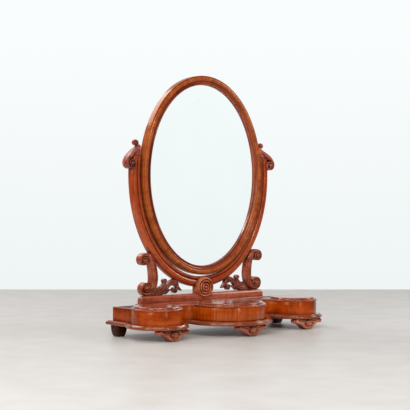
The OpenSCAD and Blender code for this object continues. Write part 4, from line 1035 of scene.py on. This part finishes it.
# %% Wells
WELL_OUT, WELL_IN, WELL_FOOT, WELL_TOP, LIP = 59.8, 56.8, 50.05, 91.5, 0.5
well_profile = [(WELL_OUT, WELL_FOOT), (WELL_OUT, WELL_TOP - LIP), (WELL_OUT - 0.4, WELL_TOP),
                (WELL_IN + 0.4, WELL_TOP), (WELL_IN, WELL_TOP - LIP), (WELL_IN, WELL_FOOT)]
well_rows = turned(well_profile, 96, (SIDE_X, SIDE_Y, 0))
pair("round_well", [skin(well_rows, around=True, grain="columns")], cloth, "base", "lining", "well_cup")

# %% [markdown]
# ## Rail and bolster board
# The yoke stands on a rail whose top edge is rubbed round, and the rail on a bolster
# board with a fine quarter round. Both would be planed to shape before the carver touched
# them. A bevel modifier would round all edges alike, so the levels say how much each
# height is drawn in.

# %% Rail and bolster board
RAIL_HALF, RAIL_FRONT, RAIL_BACK = 257.0, -7.0, 26.0
RAIL_TOP, RAIL_ROUND = 122.5, 14.0
BOARD_HALF, BOARD_FRONT, BOARD_BACK = 265.0, -16.0, 28.0


def rounded_box(half_x, front, back, front_r, back_r):
    """A box's outline with round corners."""
    corners = [(half_x - back_r, back - back_r, back_r, 0), (-half_x + back_r, back - back_r, back_r, 90),
               (-half_x + front_r, front + front_r, front_r, 180),
               (half_x - front_r, front + front_r, front_r, 270)]
    return np.concatenate([arc((x, y), r, r, start, start + 90, 8) for x, y, r, start in corners])


def rail_outline(inset, end_inset):
    return rounded_box(RAIL_HALF - end_inset, RAIL_FRONT + inset, RAIL_BACK - inset, 5.0,
                       15.0 - min(inset, 6.0))


rail_levels = [(0.3, 0.3, 99.0), (0.0, 0.0, 99.4), (0.0, 0.0, RAIL_TOP - RAIL_ROUND)]
for a in np.radians(np.linspace(0, 90, 13)):
    drawn_in = RAIL_ROUND * (1 - math.cos(a))
    rail_levels.append((drawn_in / 2, drawn_in, RAIL_TOP - RAIL_ROUND + RAIL_ROUND * math.sin(a)))
rail_rows = levels([(rail_outline(inset, end_inset), z) for inset, end_inset, z in rail_levels])
piece("yoke_rail", [skin(rail_rows, grain="columns")], polish["rail"], "base", "mahogany", "rail")
board_levels = [(0.05, 92.0), (0.0, 92.4), (0.0, 95.6), (0.4, 97.0), (1.4, 98.2), (2.8, 98.9), (4.0, 99.0)]
board_rows = levels([(rounded_box(BOARD_HALF - i, BOARD_FRONT + i, BOARD_BACK - i * 0.5, 4.0, 15.0), z)
                     for i, z in board_levels])
piece("bolster_moulding", [skin(board_rows, grain="columns")], polish["rail"], "base", "mahogany",
      "bolster_board")

# %% [markdown]
# ## The turned button
# Where the arms meet, a button turned in rings hides the joint. A lathe's chisel leaves
# beads and grooves one inside the other. Rings laid on a disc would show their joints,
# so one profile of (share of the radius, rise) makes them all.

# %% Button
BUTTON_R, BUTTON_RISE, BUTTON_Z = 34.0, 10.0, 142.0
rings = [(1.0, 0), (1.0, 0.8), (0.985, 1.05), (0.95, 1.3), (0.9, 1.45), (0.85, 1.5), (0.79, 1.42),
         (0.74, 1.22), (0.72, 1.02), (0.70, 1.2), (0.66, 1.48), (0.61, 1.62), (0.56, 1.6),
         (0.51, 1.42), (0.48, 1.2), (0.46, 1.02), (0.44, 1.25), (0.40, 1.5), (0.355, 1.66),
         (0.3, 1.68), (0.25, 1.5), (0.21, 1.22), (0.19, 1.18), (0.17, 1.4), (0.13, 1.68),
         (0.08, 1.83), (0.03, 1.89), (0.004, 1.9)]
button_profile = [(share * BUTTON_R, -rise * BUTTON_RISE) for share, rise in rings]
button_rows = turned(button_profile, 96, (0, 0, BUTTON_Z), axis="y")
piece("turned_button", [skin(button_rows, grain="columns")], polish["button"], "base", "mahogany",
      "roundel", crease=60)

# %% [markdown]
# ## Carved work
# The carver works from the front with gouges, so everything here is a ribbon seen from
# the front: a line, a width along it, a section across it, and how far forward it lies.
# Sculpting would be freer, but a ribbon keeps the clean edge of a gouge cut.

# %% Ribbons
# Carving keeps soft edges that a joiner's moulding would not.
CARVED_CREASE = 50


def ribbon_rows(path, section, back, keep_off=None):
    """Rows of a carved ribbon. A path point is (x, z, half width, front Y, depth of carving)."""
    path = np.asarray(path, float)
    travel = np.gradient(path[:, :2], axis=0)
    travel /= np.linalg.norm(travel, axis=1, keepdims=True)
    left = np.stack([-travel[:, 1], travel[:, 0]], 1)
    across = np.array([s[0] for s in section])
    deep = np.array([s[1] for s in section])

    def seen_at(t):
        """Places in front elevation, t half widths to the left of the path."""
        return path[:, None, :2] + (t * path[:, 2:3])[..., None] * left[:, None]

    t = np.repeat(across[None], len(path), 0)
    if keep_off is not None:
        low, high = t.copy(), np.ones_like(t)
        inside = keep_off(seen_at(t)) < 0
        for _ in range(14):
            mid = (low + high) / 2
            bad = keep_off(seen_at(mid)) < 0
            low, high = np.where(bad, mid, low), np.where(bad, high, mid)
        t = np.where(inside, high, t)
    xz = seen_at(t)
    y = path[:, 3:4] + deep[None] * path[:, 4:5]
    rows = np.stack([xz[..., 0], y, xz[..., 1]], -1)
    rear = rows[:, [-1, 0]].copy()
    rear[..., 1] = back
    return np.concatenate([rows, rear], 1)


print("carving stays soft where it turns by less than", CARVED_CREASE, "degrees")

# %% [markdown]
# ## Scrolls and their eyes
# A scroll is a ribbon that winds up round an eye. Each turn is 0.56 of the one outside
# it, narrower and shallower too, as a carver would set it out. A spiral with even gaps
# would look like a spring.

# %% Scrolls and their eyes
LAP_SHRINKS, HALF_WIDTH = 0.56, 0.22


def winding(centre, size, start, turn, laps, front, rise, steps=26):
    """Path of a scroll from its outside in: start in degrees, turn +1 is anticlockwise."""
    path = []
    for k in range(int(laps * steps) + 1):
        lap = k / steps
        r = size * LAP_SHRINKS ** lap
        a = math.radians(start + turn * 360.0 * lap)
        path.append((centre[0] + (1 - HALF_WIDTH) * r * math.cos(a),
                     centre[1] + (1 - HALF_WIDTH) * r * math.sin(a), HALF_WIDTH * r,
                     front - rise * lap, max(0.45, 0.62 ** lap)))
    return path


def eye(centre, radius, front, proud, back=20.0):
    """A domed button at the middle of a scroll, with a bevelled foot."""
    profile = [(radius * 1.02, back), (radius * 1.02, front + 1.2), (radius * 0.98, front + 0.2),
               (radius * 0.86, front - proud * 0.45), (radius * 0.66, front - proud * 0.8),
               (radius * 0.36, front - proud * 0.97), (radius * 0.05, front - proud)]
    return skin(turned(profile, 28, (centre[0], 0, centre[1]), axis="y"), grain="columns")


print("a 20 mm scroll's second lap is", round(20 * LAP_SHRINKS, 1), "mm in radius")

# %% [markdown]
# ## Fitting the carving to the arm
# The scrolls and leaves are glued against the arm's outer edge, so the carver trims them
# to it. A boolean cut would leave ragged slivers there. Instead each ribbon's points are
# moved along the ribbon's width until they are off the arm, less a millimetre that is let in.

# %% Fitting the carving to the arm
LET_IN = 1.0
edge_angles = np.linspace(-90, 12, 600)
arm_edge = oval(edge_angles, ARM_IN + ARM_FACE - LET_IN + arm_growth(edge_angles))
arm_edge_out = oval(edge_angles, 100.0) - oval(edge_angles, 99.0)


def off_arm(xz):
    """How far a point in front elevation is from the arm's outer edge. Less than 0 is inside."""
    flat = xz.reshape(-1, 2)
    near = np.argmin(((flat[:, None] - arm_edge[None]) ** 2).sum(-1), 1)
    return ((flat - arm_edge[near]) * arm_edge_out[near]).sum(-1).reshape(xz.shape[:-1])


print("the middle of the glass is", round(float(-off_arm(np.array([[0, GLASS_Z]]))[0])), "mm inside it")

# %% [markdown]
# ## The C-scrolls
# A scroll props each arm against the rail. It's one ribbon from eye to eye: a bead runs along its back, then
# a groove, then a broad round that dies out in the curls. Between the curls its line goes through a few
# listed points.

# %% C-scrolls
TOP_EYE, FOOT_EYE = (238, 238.5), (231, 147.5)
CARVING_FOOT = RAIL_TOP - 0.2
scroll_section = [(-1, 6.0), (-1, 2.4), (-0.96, 1.0), (-0.9, 0.3), (-0.83, 0.3), (-0.76, 1.0),
                  (-0.71, 2.6), (-0.66, 3.3), (-0.6, 2.9), (-0.45, 1.5), (-0.25, 0.75), (0.0, 0.45),
                  (0.25, 0.7), (0.5, 1.3), (0.68, 2.2), (0.76, 2.9), (0.8, 2.5), (0.86, 1.7),
                  (0.93, 1.8), (1, 3.4), (1, 7.0)]
top_curl = winding(TOP_EYE, 22, 90, -1, 1.8, 0.0, 1.3)
foot_curl = winding(FOOT_EYE, 25, -90, 1, 1.8, 0.0, 1.3)
scroll_body = [(219, 252.5, 8, 0, 1), (207, 232.5, 11, 0, 1.1), (200, 202.5, 12.5, 0, 1.2),
               (198, 176.5, 13, 0, 1.2), (203, 150.5, 12, 0, 1.1), (215, 132.8, 9, 0, 1)]
scroll_path = np.concatenate([top_curl[::-1][:-1],
                              through([top_curl[0]] + scroll_body + [foot_curl[0]], 8), foot_curl[1:]])
scroll_rows = ribbon_rows(scroll_path, scroll_section, 24.0, off_arm)
scroll_rows[..., 2] = np.maximum(scroll_rows[..., 2], CARVING_FOOT)
pair("c_scroll", [skin(scroll_rows), eye(TOP_EYE, 5.4, -1.6, 2.4), eye(FOOT_EYE, 6.2, -1.6, 2.4)],
     polish["carved"], "base", "carved_mahogany", "scroll", crease=CARVED_CREASE)

# %% [markdown]
# ## The leaf frets
# Between scroll and button a spray of leaves is pierced right through: a leaf that ends
# in a ball, a longer one that arches over and curls under, and small lobes at the stem.
# A flat board with holes would look sawn, so every leaf is a ribbon with a vein of its
# own, and they overlap as the real ones do.

# %% Leaves and curls
FRET_BACK = 20.8
leaf_section = [(-1, 5.0), (-1, 3.0), (-0.82, 1.2), (-0.5, 0.15), (-0.26, 0.3), (-0.1, 1.5), (0.0, 2.0),
                (0.1, 1.5), (0.26, 0.3), (0.5, 0.15), (0.82, 1.2), (1, 3.0), (1, 5.0)]
curl_section = [(-1, 4.0), (-1, 2.4), (-0.6, 0.5), (0, 0.0), (0.6, 0.7), (1, 2.8), (1, 4)]


def leaf(points, front, keep_off=None):
    """A veined leaf along (x, height above the rail, half width)."""
    path = [(x, RAIL_TOP + up, half, front, min(1.0, half / 6.0)) for x, up, half in through(points, 7)]
    return skin(ribbon_rows(path, leaf_section, FRET_BACK, keep_off))


def ball_and_curl(x, up, radius, start, turn, front):
    """A ball with the end of a leaf curled round it."""
    centre = (x, RAIL_TOP + up)
    path = winding(centre, radius, start, turn, 1.0, front, 0.6, steps=18)
    return [skin(ribbon_rows(path, curl_section, FRET_BACK)), eye(centre, radius * 0.46, front, 1.4)]


print("a short leaf's skin has", len(leaf([(0, 0, 3), (9, 9, 4), (20, 12, 1)], 0.0)[1]), "faces")


# %% Leaf frets
def above_rail(part):
    """A skin whose lowest points are pressed flat, just inside the rail's top."""
    points, faces, spots = part
    return np.maximum(points, [-np.inf, -np.inf, CARVING_FOOT]), faces, spots


fret_parts = [leaf([(206, 3, 3.5), (194, 6, 6), (182, 8, 8.5), (170, 13, 9.5), (160, 24, 9), (154, 35, 6),
                    (153, 43, 4.5)], 5.5),
              leaf([(190, 4, 4), (176, 6, 7), (163, 9, 8), (150, 17, 7.5), (140, 28, 7), (129, 38, 7),
                    (117, 43, 6.5), (106, 38, 5.5), (101, 28, 4.5), (103, 19, 3.5)], 5.0, off_arm),
              leaf([(128, 34, 5), (116, 34, 5.5), (104, 27, 5), (93, 17, 3.5), (86, 11, 1.0)], 6.0, off_arm),
              leaf([(204, 5, 3), (196, 13, 4.5), (189, 22, 4.0), (186, 29, 1.6)], 6.5),
              leaf([(196, 4, 3), (186, 13, 4.5), (178, 22, 4.2), (175, 28, 1.8)], 6.2),
              leaf([(150, 3, 3), (146, 8, 4.5), (138, 14, 4.0), (131, 16, 1.6)], 6.5)]
fret_parts += ball_and_curl(152, 45, 9.5, -20, 1, 5.0) + ball_and_curl(111, 13, 12, 60, -1, 5.0)
pair("leaf_fret", [above_rail(part) for part in fret_parts], polish["carved_dark"], "base",
     "carved_mahogany", "leaf_fret", crease=CARVED_CREASE)

# %% [markdown]
# ## The finials
# Each arm ends in a scroll that winds outward. Its ribbon climbs back over the pivot,
# leans away from the glass, and turns into a small knob. A leaf of five lobes fills the
# angle below, on a flat ground. Points are measured from the arm's head, so the carving
# stays on it.

# %% The finial's ribbon
HEAD_X, HEAD_Z = 251.98, 550.425


def at_head(points):
    return [(HEAD_X + x, HEAD_Z + z) + tuple(rest) for x, z, *rest in points]


volute_eye, knob_eye = at_head([(38, 0), (12.5, 66)])
band = [(-1, 6.0), (-1, 2.2), (-0.9, 0.7), (-0.72, 0.1), (-0.5, 0.3), (-0.2, 0.9), (0.1, 0.9), (0.35, 1.0),
        (0.5, 2.2), (0.64, 5.0), (0.8, 6.4), (1, 6.5)]
head_curl = winding(volute_eye, 21.5, 42, -1, 1.45, -6.0, 1.1)
head_rise = at_head([(43.5, 21.0, 6.0, -5.0, 1.1), (34, 29, 7.2, -2.5, 1.2), (24, 37.5, 6.8, 1.5, 1.2),
                     (14.0, 46, 5.6, 5.5, 1.1), (6.4, 55.5, 4.4, 9.5, 1.0)])
knob_curl = [(x, z, max(half, 1.2), front, deep * 0.7)
             for x, z, half, front, deep in winding(knob_eye, 12, 180, -1, 1.0, 11.4, 0.3, steps=20)]
head_path = np.concatenate([head_curl[::-1][:-1],
                            through([head_curl[0]] + head_rise + [knob_curl[0]], 7), knob_curl[1:]])
print("the ribbon's line has", len(head_path), "places, up to Z", round(float(head_path[:, 1].max())))


# %% Finials
def plate(outline, front, back, edge=0.8):
    """A flat carved ground behind ribbons, seen from the front as an outline of [x, z]."""
    rows = [[(x, y, z) for x, z in inset_line(outline, i)]
            for i, y in ((edge, front), (0, front + edge), (0, back))]
    return skin(rows, grain="columns")


lobe_section = [(-1, 6), (-1, 3.6), (-0.7, 1.2), (-0.3, 0.2), (0.1, 0.1), (0.5, 0.7), (0.8, 2), (1, 4),
                (1, 6)]
lobe_lines = [((36, 14), (18, 12), (2.5, 13.5), 4.4), ((34, 20), (16, 20.5), (1, 23.5), 4.6),
              ((29, 25), (14, 28.5), (-1, 33.5), 4.6), ((24, 31), (11, 36.5), (-3, 43), 4.2),
              ((18, 37), (7.5, 44), (-4, 52), 3.8)]
lobes = []
for start, middle, end, half in lobe_lines:
    path = through([start + (1.2,), middle + (half,), end + (half * 0.55,)], 8)
    lobe = at_head([(x, z, max(h, 0.8), 1.0 + z * 0.17, 0.8) for x, z, h in path])
    lobes.append(skin(ribbon_rows(lobe, lobe_section, 22.0)))
ground = at_head([(24, 5), (14, 8.5), (3, 10), (1.2, 20), (-0.8, 32), (-2.8, 44), (-4, 54), (1, 60),
                  (8, 58), (14, 48), (26, 38), (40, 26), (34, 12)])
pair("arm_finial", [skin(ribbon_rows(head_path, band, 24.0)), eye(volute_eye, 6.0, -8.2, 2.6),
                    eye(knob_eye, 7.4, 11.6, 3.0, 23.5), plate(ground, 9.0, 23.5)] + lobes,
     polish["finial"], "base", "carved_mahogany", "finial", crease=CARVED_CREASE)

# %% [markdown]
# ## The front feet
# Three carved brackets stand under the bows. A moulded line hangs from curl to curl and
# touches the floor at the middle, with a boss above and two flutes each side. All three
# are alike, so one function makes them, at a place across and with a front of its own.

# %% Profiles of a foot
foot_half = [(0, 0.1), (6, 0.4), (12, 2.4), (18, 6.6), (24, 11.6), (30, 16.2), (37, 19.8), (48, 20.5)]
foot_rim = [(-1, 5), (-1, 2.2), (-0.75, 0.6), (-0.2, 0.0), (0.3, 0.2), (0.75, 1.2), (1, 2.8), (1, 5)]
flute_section = [(-1, 5), (-1, 3.4), (-0.6, 1.0), (-0.1, 0.2), (0.4, 0.6), (0.8, 2.0), (1, 3.6), (1, 5)]
# A flute goes through three points (across, height) and has a half width.
flutes = (((14, 26), (25, 23.5), (38, 29.5), 3.6), ((14, 32), (27, 31), (43, 33), 2.8))
# The boss is (radius, how far behind the foot's front).
boss = [(13.2, 20), (13.2, 1.2), (12.9, -0.6), (12.0, -1.7), (10.9, -1.3), (10.2, 1.5), (9.7, 1.9),
        (9.4, 0.4), (8.4, -2.2), (6.6, -3.8), (3.6, -4.6), (0.1, -4.8)]
print("a foot's moulding spans", 2 * foot_half[-1][0], "mm")

# %% Front feet
FOOT_X, SIDE_FOOT_FRONT, CENTRE_FOOT_FRONT = 279.0, -218.5, -260.0
FOOT_CURL_OUT, FOOT_CURL_Z, BOSS_Z, FOOT_TOP = 48.5, 27.0, 21.6, 35.9
RIM_HALF = 5.2


def bracket_foot(x, front):
    """A carved foot about a line across and behind a front: rim, ground, flutes, curls and boss."""
    line = [(-u, z) for u, z in foot_half[:0:-1]] + foot_half
    path = [(x + u, max(z, 0.0) + RIM_HALF, RIM_HALF, front + 1.5, 1.0) for u, z in through(line, 6)]
    under = through([(u, z + 4.0) for u, z in line], 4)
    outline = np.concatenate([under, [(50, 30), (50, FOOT_TOP), (-50, FOOT_TOP), (-50, 30)]]) + [x, 0]
    skins = [skin(ribbon_rows(path, foot_rim, front + 34.0)),
             plate(outline[::-1], front + 5.5, front + 33.5, 0.5)]
    for side in (-1, 1):
        for start, middle, end, half in flutes:
            flute = through([start + (half,), middle + (half,), end + (half * 0.4,)], 7)
            flute_path = [(x + side * u, z, h, front + 2.4, 0.8) for u, z, h in flute]
            skins.append(skin(ribbon_rows(flute_path, flute_section, front + 20.0)))
        centre = (x + side * FOOT_CURL_OUT, FOOT_CURL_Z)
        curl = winding(centre, 8.2, 90, -side, 1.0, front + 0.8, 0.5, steps=18)
        skins.append(skin(ribbon_rows(curl, foot_rim, front + 33.0)))
        skins.append(eye(centre, 4.2, front + 0.4, 1.8, front + 33.0))
    boss_rows = turned([(radius, front + y) for radius, y in boss], 40, (x, 0, BOSS_Z), axis="y")
    skins.append(skin(boss_rows, grain="columns"))
    return skins


piece("centre_bracket_foot", bracket_foot(0.0, CENTRE_FOOT_FRONT), polish["foot"], "base",
      "carved_mahogany", "centre_front_foot", crease=CARVED_CREASE)
pair("bracket_foot", bracket_foot(FOOT_X, SIDE_FOOT_FRONT), polish["foot"], "base", "carved_mahogany",
     "front_foot", crease=CARVED_CREASE)

# %% [markdown]
# ## The rear feet
# The two feet at the back are plain blocks with rounded sides, as no one was meant to see them. They are
# coloured near black: partly dark wood, partly painted shade, as they stand in the shadow of the base. A
# square with corners rounded by a power lies between a box and a turned foot, and each level of it is given
# as (half width, half depth, height).

# %% Rear feet
REAR_X, REAR_Y, SQUARENESS = 332, 11, 6.0
rear_levels = through([(11, 12, 0.0), (13.6, 14.6, 1.6), (16.4, 17.7, 7.5), (18.4, 19.8, 15.0),
                       (19.6, 21.1, 23.0), (20.0, 21.8, 30.0), (19.9, 21.9, 36.0)], 3)
angles = np.radians(np.linspace(0, 360, 56, endpoint=False))
square = (np.abs(np.cos(angles)) ** SQUARENESS + np.abs(np.sin(angles)) ** SQUARENESS) ** (-1 / SQUARENESS)
rear_rows = [[(REAR_X + hx * k * math.cos(a), REAR_Y + hy * k * math.sin(a), z)
              for a, k in zip(angles, square)] for hx, hy, z in rear_levels]
pair("rear_foot", [skin(rear_rows, grain="columns")], polish["dark"], "base", "dark_wood", "rear_foot")
